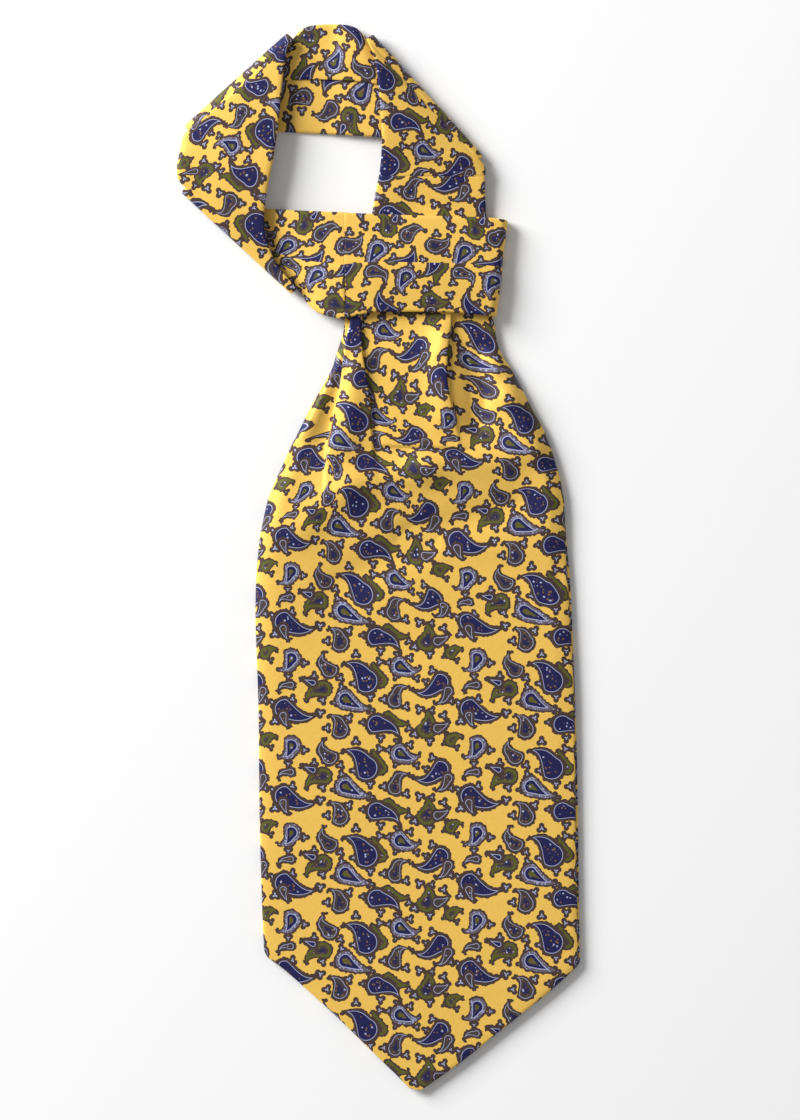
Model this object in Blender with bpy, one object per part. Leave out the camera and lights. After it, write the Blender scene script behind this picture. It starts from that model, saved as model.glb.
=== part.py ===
"""A silk cravat laid flat: a neckband folded into a loop, and a pleated front blade.

Everything is worked out in millimetres in the plan of the laid cravat, X to the right, Y towards the
loop and Z up from the surface that it lies on, and is turned into metres when a mesh is made.
The band is a flattened tube of silk, so its wall counts two plies. It lies in stretches, each turned
over at a slanting fold. The blades are single walls, one on the other.
"""

import math
from collections import namedtuple

import bmesh
import bpy
from mathutils import Vector

MM = 0.001

# Driving dimensions in millimetres.
PLY = 1.0               # wall of one blade panel
BAND = 2 * PLY          # wall of the flattened neckband tube
LAP = 0.8               # how far the lapped seam stands up along the back of the band
LOW_LAP = 0.5           # the same where the back of the band is pressed down
EDGE_ROUND = 0.4        # share of the half wall that stays square at a rounded edge
SEAM_GAP = 0.3          # clearance between two pieces where they are sewn together
RESTING = BAND / 2      # height of the band's middle where it lies on the surface
LEG_HEIGHT = 5.0        # height of the band's middle where it lies on another stretch
ROLL_HEIGHT = 6.2       # height of the left leg where it rolls under
NECK_HEIGHT = 3.3       # height of the front blade's neck under the crossing
FOLD_STEPS = 8          # rings round one fold
TURN_RADIUS = 0.65      # radius of the cloth's middle in the turn of a pleat
TURN_REACH = math.radians(110)
TURN_STEPS = 3          # pieces of one turn
PLEAT_RISER = 0.5       # straight piece between the two turns of a pleat
OUTER_PARTS = 4         # points across the left panel and across the ridge
CENTRE_PARTS = 9        # points across the centre panel
RIGHT_PARTS = 8         # points across the right panel
BILLOW_SLOPE = 6        # the billow reaches its height a sixth of the way in from each side
EDGE_PRESSED = 5.0      # width of the pressed strip along each side, which lies flat
TUCK_STEP = 1.5         # width of the slope at a tuck
TUCK_END = 4.0          # how softly a tuck dies out beyond its ends
FACE_HEIGHT = 3.3       # height of the middle of the front blade's face
HIDDEN_INSET = 4.0      # how far the hidden blade stays inside the front one
BLADE_REST = 1.2        # thickness of the hidden blade
LOOP_MIDDLE = Vector((-20.0, 180.0, 0))     # middle of the neckband's loop in plan
CENTRE = Vector((0.6, 0.38, 0))     # middle of the whole outline in plan, where the origin goes

SILK_ROUGHNESS = 0.42
UP = Vector((0, 0, 1))

Ring = namedtuple("Ring", "a b face lap")
FoldLine = namedtuple("FoldLine", "a b outward")
BandRow = namedtuple("BandRow", "ax ay az bx by bz lap")
FaceRow = namedtuple("FaceRow", "left_x left_y right_x right_y pleat_1 pleat_2 pleat_3 "
                                "turn_1 turn_2 turn_3 lift")
SlabRow = namedtuple("SlabRow", "left_x left_y right_x right_y thick")
Crease = namedtuple("Crease", "x0 y0 x1 y1 height spread")
Tuck = namedtuple("Tuck", "x0 y0 x1 y1 rise fade")

# Outer corners of the four slanting folds in plan, from edge A to edge B of the band.
TOP_LEFT_FOLD = ((-91.4, 205.2), (-43.0, 248.9))
TOP_RIGHT_FOLD = ((50.1, 190.9), (-2.1, 248.4))
LOW_LEFT_FOLD = ((-93.0, 173.2), (-41.0, 125.2))
RIGHT_END_TURN = ((61.8, 160.1), (56.5, 114.5))
RIGHT_END_HEIGHTS = (5.6, 7.1)

# Edge A is the band's outer edge on the right leg, and edge B is its inner edge there.
TOP_STRIP = [
    BandRow(-64.0, 203.6, 1.0, -37.4, 249.4, 1.0, 0.8),
    BandRow(-42.5, 202.3, 1.0, -32.5, 252.3, 1.0, 0.8),
    BandRow(-27.3, 201.6, 1.0, -23.0, 253.2, 1.0, 0.8),
    BandRow(-10.0, 200.6, 1.0, -16.0, 252.9, 1.0, 0.8),
    BandRow(6.0, 199.4, 1.0, -10.8, 251.6, 1.0, 0.8),
    BandRow(26.0, 196.2, 1.0, -7.6, 249.0, 1.0, 0.8),
]
LEFT_LEG = [
    BandRow(-91.8, 200.2, 5.2, -43.4, 238.0, 5.2, 0.5),
    BandRow(-93.0, 195.0, 5.6, -45.4, 223.7, 5.6, 0.5),
    BandRow(-94.0, 190.2, 6.1, -47.0, 207.1, 6.1, 0.5),
    BandRow(-94.8, 185.6, 6.4, -49.5, 189.5, 6.5, 0.5),
    BandRow(-94.8, 182.0, 6.5, -52.4, 174.5, 6.6, 0.5),
    BandRow(-94.0, 179.2, 6.4, -53.9, 161.5, 6.6, 0.5),
    BandRow(-92.6, 177.2, 6.3, -52.4, 150.0, 6.5, 0.5),
    BandRow(-91.5, 176.3, 6.2, -47.6, 139.0, 6.3, 0.5),
]
CROSSING_LEFT = [
    BandRow(-74.0, 170.4, 1.0, -36.0, 125.6, 1.0, 0.8),
    BandRow(-59.0, 166.5, 1.0, -33.4, 121.4, 1.3, 0.8),
    BandRow(-47.0, 165.2, 1.5, -30.2, 118.0, 2.3, 0.8),
    BandRow(-36.0, 164.6, 2.7, -26.2, 115.8, 3.9, 0.8),
    BandRow(-25.5, 164.1, 4.4, -21.3, 114.3, 5.6, 0.8),
    BandRow(-15.6, 163.7, 5.6, -15.7, 113.1, 6.9, 0.8),
]
CROSSING_RIGHT = [
    BandRow(-15.3, 163.6, 5.65, -13.6, 114.9, 7.05, 0.8),
    BandRow(1.2, 162.8, 6.0, 1.2, 116.8, 7.5, 0.8),
    BandRow(20.2, 162.2, 6.0, 20.2, 116.8, 7.5, 0.8),
    BandRow(38.0, 161.7, 6.0, 37.5, 116.4, 7.4, 0.8),
    BandRow(51.0, 161.3, 5.8, 47.5, 115.5, 7.2, 0.5),
]
UNDER_LAP = [
    BandRow(51.0, 160.6, 1.0, 48.5, 115.6, 1.0, 0.0),
    BandRow(44.3, 160.6, 1.0, 44.3, 116.0, 1.0, 0.0),
]
RIGHT_LEG = [
    BandRow(49.4, 187.6, 5.0, -1.6, 238.0, 5.0, 0.5),
    BandRow(50.5, 186.0, 5.0, 0.4, 226.5, 5.0, 0.5),
    BandRow(51.0, 184.6, 4.9, 1.5, 214.0, 4.9, 0.5),
    BandRow(51.1, 183.3, 4.8, 2.3, 200.5, 4.8, 0.5),
    BandRow(51.0, 182.2, 4.7, 1.9, 189.5, 4.7, 0.5),
    BandRow(50.8, 181.2, 4.6, 0.9, 181.2, 4.6, 0.5),
]
FRONT_NECK = [
    BandRow(50.7, 180.9, 4.6, 0.8, 180.9, 4.6, 0.5),
    BandRow(50.9, 172.0, 3.9, -1.0, 172.0, 3.9, 0.4),
    BandRow(51.3, 164.5, NECK_HEIGHT, -2.2, 164.5, NECK_HEIGHT, 0.0),
    BandRow(52.6, 150.0, NECK_HEIGHT, -4.6, 150.0, NECK_HEIGHT, 0.0),
    BandRow(53.0, 135.0, NECK_HEIGHT, -8.6, 135.0, NECK_HEIGHT, 0.0),
    BandRow(52.2, 120.3, NECK_HEIGHT, -13.6, 120.3, NECK_HEIGHT, 0.0),
]

# Sections of the front blade's face. pleat_1 and pleat_2 are the two sides of the ridge on the left,
# pleat_3 is the edge of the centre panel, turns are in degrees, and lift is the height of its billow.
FRONT_FACE = [
    FaceRow(-15.0, 120.0, 51.8, 120.0, -12.4, -8.0, 35.3, 55, 55, 60, 0.0),
    FaceRow(-15.3, 112.0, 55.0, 112.0, -12.8, -8.0, 35.0, 80, 80, 85, 0.0),
    FaceRow(-16.9, 104.0, 56.3, 104.0, -14.6, -7.8, 33.6, 100, 100, 105, 0.2),
    FaceRow(-19.2, 97.0, 58.5, 97.0, -15.8, -7.4, 32.8, 108, 110, 112, 0.5),
    FaceRow(-21.6, 89.3, 63.4, 89.3, -16.4, -6.2, 32.6, 110, 112, 108, 0.8),
    FaceRow(-26.8, 79.8, 68.6, 79.8, -17.8, -4.6, 33.6, 106, 106, 85, 1.0),
    FaceRow(-32.1, 70.3, 73.4, 70.3, -20.0, -3.4, 36.2, 92, 90, 55, 1.2),
    FaceRow(-36.8, 60.8, 78.6, 60.8, -22.0, -2.6, 38.2, 72, 62, 30, 1.2),
    FaceRow(-41.6, 51.3, 82.4, 51.3, -23.8, -1.6, 39.5, 48, 35, 12, 1.1),
    FaceRow(-45.8, 41.8, 85.3, 41.8, -24.8, -0.6, 40.5, 26, 14, 0, 1.0),
    FaceRow(-50.1, 32.3, 87.6, 32.3, -25.2, 0.5, 41.2, 10, 0, 0, 0.9),
    FaceRow(-53.0, 22.8, 88.6, 22.8, -25.4, 1.2, 41.6, 0, 0, 0, 0.8),
    FaceRow(-56.3, 3.8, 89.1, 3.8, -25.0, 2.0, 42.0, 0, 0, 0, 0.6),
    FaceRow(-57.7, -24.7, 91.0, -24.7, -25.0, 2.0, 42.0, 0, 0, 0, 0.4),
    FaceRow(-56.3, -72.0, 93.3, -72.0, -25.0, 2.0, 42.0, 0, 0, 0, 0.3),
    FaceRow(-55.6, -130.0, 94.0, -130.0, -25.0, 2.0, 42.0, 0, 0, 0, 0.3),
    FaceRow(-53.4, -187.6, 95.2, -192.4, -25.0, 2.0, 42.0, 0, 0, 0, 0.2),
    FaceRow(-43.4, -195.8, 82.0, -205.2, -22.0, 6.0, 36.0, 0, 0, 0, 0.2),
    FaceRow(-22.1, -214.8, 58.2, -224.2, -8.0, 11.0, 30.0, 0, 0, 0, 0.1),
    FaceRow(-2.6, -233.8, 38.3, -240.0, 4.0, 14.0, 26.0, 0, 0, 0, 0.0),
    FaceRow(15.6, -251.6, 20.6, -252.4, 16.8, 18.0, 19.4, 0, 0, 0, 0.0),
]
PLEATED_ROWS = 11       # rows that get a section of their own in between
FACE_RESTS = 13         # last row whose billow still matters to the creases

# Soft ridges and troughs of the face below the pleats.
CREASES = [
    Crease(-6.0, 84.0, -14.0, 58.0, 0.7, 7.0),
    Crease(26.0, 82.0, 42.0, 66.0, -0.9, 9.0),
    Crease(52.0, 62.0, 68.0, 54.0, 0.6, 8.0),
    Crease(62.0, 88.0, 82.0, 44.0, -0.8, 5.0),
    Crease(16.0, 42.0, 22.0, 14.0, -0.8, 8.0),
    Crease(-28.0, 18.0, -22.0, 0.0, -0.6, 9.0),
    Crease(40.0, 36.0, 56.0, 10.0, 0.5, 10.0),
]
# Tucks whose lower or upper side stands higher than the other.
TUCKS = [
    Tuck(33.5, 107.0, 58.0, 99.0, 0.9, 16.0),
    Tuck(39.0, 51.5, 3.6, 52.5, 0.7, 14.0),
]

# The front blade's back panel shows 1 mm past the face along the right edge.
FRONT_BACK = [
    SlabRow(-15.0, 100.0, 55.0, 100.0, PLY),
    SlabRow(-26.0, 78.0, 67.4, 78.0, PLY),
    SlabRow(-36.8, 57.0, 79.3, 57.0, PLY),
    SlabRow(-47.4, 34.0, 87.2, 34.0, PLY),
    SlabRow(-54.2, 8.0, 89.6, 8.0, PLY),
    SlabRow(-56.0, -24.7, 92.0, -24.7, PLY),
    SlabRow(-54.6, -100.0, 94.6, -100.0, PLY),
    SlabRow(-51.8, -186.6, 96.1, -192.6, PLY),
    SlabRow(-20.9, -213.4, 58.6, -222.6, PLY),
    SlabRow(15.9, -249.6, 20.3, -250.4, PLY),
]
BACK_HEIGHT = 2.0       # height of the middle of that panel

# The hidden blade: its neck under the front one, then the blade itself.
HIDDEN_NECK = [
    SlabRow(-4.0, 157.0, 43.4, 157.0, BAND),
    SlabRow(-5.0, 140.0, 43.6, 140.0, BAND),
    SlabRow(-8.4, 122.0, 44.0, 122.0, BAND),
    SlabRow(-9.8, 114.6, 44.0, 114.6, 1.8),
    SlabRow(-11.6, 108.0, 47.0, 108.0, 1.5),
    SlabRow(-13.4, 101.5, 51.0, 101.5, BLADE_REST),
]


def blend(rows, position):
    """A row between two rows of a table, on a smooth curve through all of them."""
    index = min(int(position), len(rows) - 2)
    part = position - index
    first = rows[max(index - 1, 0)]
    start, end = rows[index], rows[index + 1]
    last = rows[min(index + 2, len(rows) - 1)]
    values = []
    for before, here, there, after in zip(first, start, end, last):
        leave = (there - before) / 2
        arrive = (after - here) / 2
        square = part * part
        cube = square * part
        values.append(here * (2 * cube - 3 * square + 1) + leave * (cube - 2 * square + part)
                      + there * (3 * square - 2 * cube) + arrive * (cube - square))
    return type(start)(*values)


def silk(name, colour):
    """The material of one piece of printed silk."""
    material = bpy.data.materials.new(name)
    material.use_nodes = True
    shader = material.node_tree.nodes["Principled BSDF"]
    shader.inputs["Base Color"].default_value = (*colour, 1)
    shader.inputs["Roughness"].default_value = SILK_ROUGHNESS
    shader.inputs["Metallic"].default_value = 0.0
    return material


def solid_from_rings(name, rings, material):
    """A closed wall: rings joined one to the next, both ends capped.

    Each ring runs along the wall's first side and back along its second, so its points pair up
    across the wall, and a cap is a strip of faces between the pairs.
    """
    model = bmesh.new()
    loops = [[model.verts.new((point - CENTRE) * MM) for point in ring] for ring in rings]
    count = len(loops[0])
    for near, far in zip(loops, loops[1:]):
        for here in range(count):
            there = (here + 1) % count
            model.faces.new((near[here], near[there], far[there], far[here]))
    for loop in (loops[0], loops[-1]):
        for here in range(count // 2 - 1):
            model.faces.new((loop[here], loop[here + 1], loop[-here - 2], loop[-here - 1]))
    bmesh.ops.recalc_face_normals(model, faces=model.faces)
    if model.calc_volume(signed=True) < 0:
        bmesh.ops.reverse_faces(model, faces=model.faces)
    mesh = bpy.data.meshes.new(name)
    model.to_mesh(mesh)
    model.free()
    mesh.materials.append(material)
    mesh.shade_smooth()
    mesh.set_sharp_from_angle(angle=math.radians(50))
    piece = bpy.data.objects.new(name, mesh)
    bpy.context.scene.collection.objects.link(piece)
    return piece


# The neckband's stretches.

def plan(point, height):
    """A point of the plan at a height."""
    return Vector((point[0], point[1], height))


def fold_line(corners, height_a, height_b):
    """The axis of a fold whose outermost points in plan are given, inside them by its radius."""
    start, end = plan(corners[0], 0), plan(corners[1], 0)
    along = (end - start).normalized()
    outward = along.cross(UP)
    if outward.dot(start + end - 2 * LOOP_MIDDLE) < 0:
        outward = -outward
    inset_a = (height_a - RESTING) / 2 + BAND / 2
    inset_b = (height_b - RESTING) / 2 + BAND / 2
    return FoldLine(start - outward * inset_a, end - outward * inset_b, outward)


def fold_rings(line, height_a, height_b, rising, face_outside, lap):
    """Rings round a fold between the surface and the given heights, from 0 to 180 degrees."""
    rings = []
    for step in range(FOLD_STEPS + 1):
        angle = math.pi * step / FOLD_STEPS
        turn = -math.cos(angle) if rising else math.cos(angle)
        edges = []
        for axis, height in ((line.a, height_a), (line.b, height_b)):
            radius = (height - RESTING) / 2
            edges.append(axis + line.outward * radius * math.sin(angle)
                         + UP * (RESTING + radius + radius * turn))
        outside = line.outward * math.sin(angle) + UP * turn
        rings.append(Ring(edges[0], edges[1], outside if face_outside else -outside, lap))
    return rings


def flat_rings(rows, face_up):
    """Rings of a stretch that lies flat, one for each row of its table."""
    side = UP if face_up else -UP
    rings = []
    for row in rows:
        edge_a = Vector((row.ax, row.ay, max(row.az, RESTING)))
        edge_b = Vector((row.bx, row.by, max(row.bz, RESTING)))
        across = (edge_b - edge_a).normalized()
        face = (side - across * side.dot(across)).normalized()
        rings.append(Ring(edge_a, edge_b, face, row.lap))
    return rings


def along_table(rows, start, end, between=1):
    """Rows of a stretch with its two end rings' edges, and more of them on the smooth curve."""
    full = list(rows)
    if start:
        full.insert(0, row_of(start))
    if end:
        full.append(row_of(end))
    steps = (len(full) - 1) * (between + 1)
    dense = [blend(full, step / (between + 1)) for step in range(steps + 1)]
    first = 1 if start else 0
    return dense[first:len(dense) - (1 if end else 0)]


def row_of(ring):
    """A table row with a ring's edges."""
    return BandRow(*ring.a, *ring.b, ring.lap)


def band_section(ring):
    """The flattened tube's outline at a ring: its face, then its back with the lapped seam."""
    across = ring.b - ring.a
    width = across.length
    across.normalize()
    half = BAND / 2
    square = EDGE_ROUND * half
    round_in = half - square
    seam = width / 2
    face = [(0, square), (round_in, half), (width / 4, half), (seam - LAP, half),
            (seam, half), (3 * width / 4, half), (width - round_in, half), (width, square)]
    back = [(0, -square), (round_in, -half), (width / 4, -half), (seam - LAP / 2, -half),
            (seam, -half - ring.lap), (3 * width / 4, -half - ring.lap / 2),
            (width - round_in, -half), (width, -square)]
    outline = face + back[::-1]
    return [ring.a + across * place + ring.face * offset for place, offset in outline]


def shifted(ring, by):
    """A ring moved in plan, to leave the gap of a seam."""
    return Ring(ring.a + by, ring.b + by, ring.face, ring.lap)


def make_neckband():
    """The band's four stretches, in the order in which they follow from the front blade."""
    top_right = fold_line(TOP_RIGHT_FOLD, LEG_HEIGHT, LEG_HEIGHT)
    top_left = fold_line(TOP_LEFT_FOLD, LEG_HEIGHT, LEG_HEIGHT)
    low_left = fold_line(LOW_LEFT_FOLD, ROLL_HEIGHT, ROLL_HEIGHT)
    right_fold = fold_rings(top_right, LEG_HEIGHT, LEG_HEIGHT, True, True, LOW_LAP)
    left_fold = fold_rings(top_left, LEG_HEIGHT, LEG_HEIGHT, True, True, LOW_LAP)
    low_fold = fold_rings(low_left, ROLL_HEIGHT, ROLL_HEIGHT, False, True, LOW_LAP)

    right_leg = flat_rings(along_table(RIGHT_LEG, right_fold[-1], None), True)
    solid_from_rings("neckband_right", [band_section(ring) for ring in right_fold + right_leg],
                     silk("right silk", (0.86, 0.58, 0.12)))

    start = shifted(left_fold[0], -top_left.outward * SEAM_GAP)
    end = shifted(right_fold[0], -top_right.outward * SEAM_GAP)
    strip = [start] + flat_rings(along_table(TOP_STRIP, start, end), False) + [end]
    solid_from_rings("neckband_top", [band_section(ring) for ring in strip],
                     silk("top silk", (0.80, 0.52, 0.10)))

    left_leg = flat_rings(along_table(LEFT_LEG, left_fold[-1], low_fold[0]), True)
    solid_from_rings("neckband_left",
                     [band_section(ring) for ring in left_fold + left_leg + low_fold],
                     silk("left silk", (0.86, 0.58, 0.12)))

    start = shifted(low_fold[-1], -low_left.outward * SEAM_GAP)
    crossing = [start] + flat_rings(along_table(CROSSING_LEFT, start, None), False)
    solid_from_rings("neckband_crossing", [band_section(ring) for ring in crossing],
                     silk("crossing silk", (0.82, 0.54, 0.11)))


def make_necks():
    """The narrow ends of the two blades, each sewn to the band by a cross seam."""
    turn = fold_line(RIGHT_END_TURN, *RIGHT_END_HEIGHTS)
    right_end = fold_rings(turn, *RIGHT_END_HEIGHTS, False, False, LOW_LAP / 2)
    right_end[-1] = right_end[-1]._replace(lap=0.0)
    over = flat_rings(along_table(CROSSING_RIGHT, None, right_end[0]), False)
    under = flat_rings(UNDER_LAP, True)
    solid_from_rings("second_blade_neck",
                     [band_section(ring) for ring in over + right_end + under],
                     silk("second neck silk", (0.84, 0.56, 0.12)))
    front = flat_rings(along_table(FRONT_NECK, None, None), True)
    solid_from_rings("front_blade_neck", [band_section(ring) for ring in front],
                     silk("front neck silk", (0.86, 0.58, 0.12)))


# The front blade's face, with its pleats.

def pleat_path(turn, rising):
    """Headings and lengths of the cloth through one pleat: a turn, its riser and the turn back."""
    sign = 1 if rising else -1
    piece = TURN_RADIUS * TURN_REACH / TURN_STEPS
    away = [(sign * math.radians(turn) * (step + 0.5) / TURN_STEPS, piece)
            for step in range(TURN_STEPS)]
    return away + [(sign * math.radians(turn), PLEAT_RISER)] + away[::-1]


def travel(path):
    """How far a path takes the cloth sideways and up."""
    side = sum(length * math.cos(heading) for heading, length in path)
    rise = sum(length * math.sin(heading) for heading, length in path)
    return side, rise


def face_middle(row):
    """The cloth's middle line across one section of the face, as (x, z) from left to right."""
    pleats = [(row.pleat_1, pleat_path(row.turn_1, True), OUTER_PARTS),
              (row.pleat_2, pleat_path(row.turn_2, False), OUTER_PARTS),
              (row.pleat_3, pleat_path(row.turn_3, False), CENTRE_PARTS)]
    drop_3 = -travel(pleats[2][1])[1]
    foot_heights = [0.0, 0.0, drop_3]
    x, z = row.left_x + PLY / 2, 0.0
    points = [(x, z)]
    for (place, path, divisions), foot in zip(pleats, foot_heights):
        side, rise = travel(path)
        if foot == 0.0 and rise < 0:
            foot = -rise
        end = place - side / 2
        start_x, start_z = x, z
        for step in range(1, divisions + 1):
            part = step / divisions
            points.append((start_x + (end - start_x) * part, start_z + (foot - start_z) * part))
        x, z = points[-1]
        for heading, length in path:
            x += length * math.cos(heading)
            z += length * math.sin(heading)
            points.append((x, z))
    end = row.right_x - PLY / 2
    for step in range(1, RIGHT_PARTS + 1):
        points.append((x + (end - x) * step / RIGHT_PARTS, z))
    return points


def near_line(x, y, mark):
    """How far a point lies to the left of a marked line, how far from it, and where along it."""
    start = Vector((mark.x0, mark.y0))
    along = Vector((mark.x1, mark.y1)) - start
    length = along.length
    along.normalize()
    step = Vector((x, y)) - start
    place = step.dot(along)
    beyond = max(-place, place - length, 0.0)
    left = along.x * step.y - along.y * step.x
    return left, math.hypot(left, beyond), beyond


def relief(x, y, row):
    """Height of the face's billow, creases and tucks over its flat lie, never below it."""
    part = (x - row.left_x) / max(row.right_x - row.left_x, 1.0)
    height = row.lift * min(1.0, BILLOW_SLOPE * part, BILLOW_SLOPE * (1 - part))
    for crease in CREASES:
        distance = near_line(x, y, crease)[1]
        height += crease.height * math.exp(-(distance / crease.spread) ** 2)
    for tuck in TUCKS:
        left, _, beyond = near_line(x, y, tuck)
        below = max(-left, 0.0)
        height += (tuck.rise * min(below / TUCK_STEP, 1.0) * math.exp(-(below / tuck.fade) ** 2)
                   * math.exp(-(beyond / TUCK_END) ** 2))
    edge = min(x - row.left_x, row.right_x - x)
    return max(height, 0.0) * min(1.0, edge / EDGE_PRESSED)


def face_section(row, billows):
    """The closed outline of one section of the face, PLY thick, with rounded edges."""
    line = face_middle(row)
    middle = []
    for x, z in line:
        part = (x - row.left_x) / (row.right_x - row.left_x)
        y = row.left_y + (row.right_y - row.left_y) * part
        lift = relief(x, y, row) if billows else 0.0
        middle.append(Vector((x, y, FACE_HEIGHT + z + lift)))
    top, bottom = [], []
    for index, point in enumerate(middle):
        before = middle[max(index - 1, 0)]
        after = middle[min(index + 1, len(middle) - 1)]
        along = (after - before).normalized()
        out = Vector((-along.z, 0, along.x)).normalized() * PLY / 2
        top.append(point + out)
        bottom.append(point - out)
    edge_left = Vector((row.left_x, row.left_y, middle[0].z))
    edge_right = Vector((row.right_x, row.right_y, middle[-1].z))
    nudge = UP * EDGE_ROUND * PLY / 2
    top = [edge_left + nudge] + top + [edge_right + nudge]
    bottom = [edge_left - nudge] + bottom + [edge_right - nudge]
    return top + bottom[::-1]


def make_front_face():
    """The pleated panel: close sections through the pleats, wider apart below them."""
    places = [step / 2 for step in range(2 * PLEATED_ROWS)]
    places += range(PLEATED_ROWS, len(FRONT_FACE))
    sections = [face_section(blend(FRONT_FACE, place), place < FACE_RESTS + 1) for place in places]
    solid_from_rings("front_blade_face", sections, silk("face silk", (0.90, 0.62, 0.14)))


# The flat panels beneath it.

def slab_section(row, middle):
    """A flat wall's outline across one section, its edges rounded."""
    start = Vector((row.left_x, row.left_y, middle))
    end = Vector((row.right_x, row.right_y, middle))
    inward = (end - start).normalized() * row.thick / 2
    side = UP * row.thick / 2
    blunt = side * EDGE_ROUND
    top = [start + blunt, start + inward + side, end - inward + side, end + blunt]
    bottom = [start - blunt, start + inward - side, end - inward - side, end - blunt]
    return top + bottom[::-1]


def make_flat_panels():
    """The front blade's back panel, and the hidden second blade that lies on the surface."""
    panel = [slab_section(row, BACK_HEIGHT) for row in FRONT_BACK]
    solid_from_rings("front_blade_back", panel, silk("back silk", (0.84, 0.56, 0.12)))
    inside = [SlabRow(row.left_x + HIDDEN_INSET, row.left_y, row.right_x - HIDDEN_INSET,
                      row.right_y, BLADE_REST) for row in FRONT_BACK[1:-1]]
    tip = FRONT_BACK[-1]
    tip_y = tip.left_y + 2 * HIDDEN_INSET
    inside.append(SlabRow(tip.left_x, tip_y, tip.right_x, tip_y, BLADE_REST))
    rows = HIDDEN_NECK + inside
    hidden = [slab_section(row, row.thick / 2) for row in rows]
    solid_from_rings("second_blade", hidden, silk("second silk", (0.80, 0.52, 0.10)))


def main():
    """Clears the scene and builds the cravat's pieces."""
    for leftover in list(bpy.data.objects):
        bpy.data.objects.remove(leftover, do_unlink=True)
    make_neckband()
    make_necks()
    make_front_face()
    make_flat_panels()


main()
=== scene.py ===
# %% [markdown]
# # A silk cravat, laid flat
#
# This notebook dresses the imported model of a silk cravat. The imported solids give every place and size.
# Here each one gets real cloth: a thin folded sheet with its pleats, rolled edges and lapped seams, and a
# printed silk with a small paisley repeat.
#
# The frame is loaded first.

# %% Load the imported frame
import math
from collections import namedtuple

import bpy
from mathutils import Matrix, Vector


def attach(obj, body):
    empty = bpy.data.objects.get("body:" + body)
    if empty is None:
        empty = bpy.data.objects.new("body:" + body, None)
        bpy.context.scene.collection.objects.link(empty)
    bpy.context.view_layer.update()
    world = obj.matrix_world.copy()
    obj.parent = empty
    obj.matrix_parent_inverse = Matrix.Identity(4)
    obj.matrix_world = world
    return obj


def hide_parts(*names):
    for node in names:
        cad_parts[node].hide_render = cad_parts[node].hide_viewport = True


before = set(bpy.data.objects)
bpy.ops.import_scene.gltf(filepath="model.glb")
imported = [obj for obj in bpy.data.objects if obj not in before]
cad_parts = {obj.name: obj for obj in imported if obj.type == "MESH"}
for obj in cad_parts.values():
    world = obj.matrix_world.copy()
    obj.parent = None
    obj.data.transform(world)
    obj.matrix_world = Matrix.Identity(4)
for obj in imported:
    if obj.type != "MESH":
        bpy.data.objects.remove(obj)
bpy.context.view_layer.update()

# %% [markdown]
# ## Sizes
#
# A cravat is drawn flat by its maker, so all places below are in millimetres in the plan of the laid
# cravat: X to the right, Y towards the loop, Z up from the table. The plan's middle is subtracted once,
# when a mesh is made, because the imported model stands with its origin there.

# %% Driving sizes
MM = 0.001
CENTRE = Vector((0.6, 0.38, 0))     # middle of the laid outline in the plan
CLOTH = 0.42                        # two plies of silk twill
BAND_WIDTH = 50.0
BAND_HALF = 0.75                    # from the middle of the flattened tube to one of its plies
LAP = 0.95                          # height of the lapped half above the other
HEM_RADIUS = 0.24                   # turn of the lapped edge
HEM_UNDER = 3.0                     # how far it runs back beneath itself
UNDER_LAP = 6.0                     # how far the under edge runs on beneath the lapped one
RESTING = 1.0                       # height of the band's middle where it lies on the table
UP = Vector((0, 0, 1))
print("a flattened tube of the band is", 2 * BAND_HALF + CLOTH, "mm thick")

# %% [markdown]
# ## A curve through a table
#
# Each piece of cloth is described by a few cross-sections, as a cutter would note them down: one row of
# a table for each fold or change of width. A smooth curve through the rows gives all the sections
# between them. The same curve serves the band, the blades and the hidden panel.

# %% Smooth rows between the rows of a table
def slope(before, here, after):
    """How fast a curve runs through a row, held back where the rows lie unevenly."""
    step_in, step_out = here - before, after - here
    if step_in * step_out <= 0:
        return 0.0
    return math.copysign(min(abs(after - before) / 2, 2 * abs(step_in), 2 * abs(step_out)), step_in)


def blend(rows, position):
    """A row between two rows of a table, on a smooth curve through all of them."""
    index = min(int(position), len(rows) - 2)
    part = position - index
    start, end = rows[index], rows[index + 1]
    first = rows[index - 1] if index > 0 else [2 * a - b for a, b in zip(start, end)]
    last = rows[index + 2] if index + 2 < len(rows) else [2 * b - a for a, b in zip(start, end)]
    square, cube = part * part, part ** 3
    values = []
    for before, here, there, after in zip(first, start, end, last):
        leave, arrive = slope(before, here, there), slope(here, there, after)
        values.append(here * (2 * cube - 3 * square + 1) + leave * (cube - 2 * square + part)
                      + there * (3 * square - 2 * cube) + arrive * (cube - square))
    return type(start)(*values)


def smooth_step(value):
    """0 below 0, 1 above 1, and an even slope in between."""
    value = min(max(value, 0.0), 1.0)
    return value * value * (3 - 2 * value)

# %% [markdown]
# ## A sheet of cloth
#
# Cloth starts as a flat grid, as it comes off the bolt. Every crossing of the grid is then moved to its
# place in the folded cravat, and it keeps in its UV map where it was on the bolt, so that the print
# follows each fold. Solidify gives the sheet its real thickness, and smooth shading hides the facets.
# UV units are decimetres of cloth, across the bolt and along it.

# %% Make one sheet from a grid
UV_UNIT = 100.0
SAME_PLACE = 0.01                   # closer than this, two edges of a grid are sewn into one
SMOOTH_ANGLE = math.radians(55)


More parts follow.
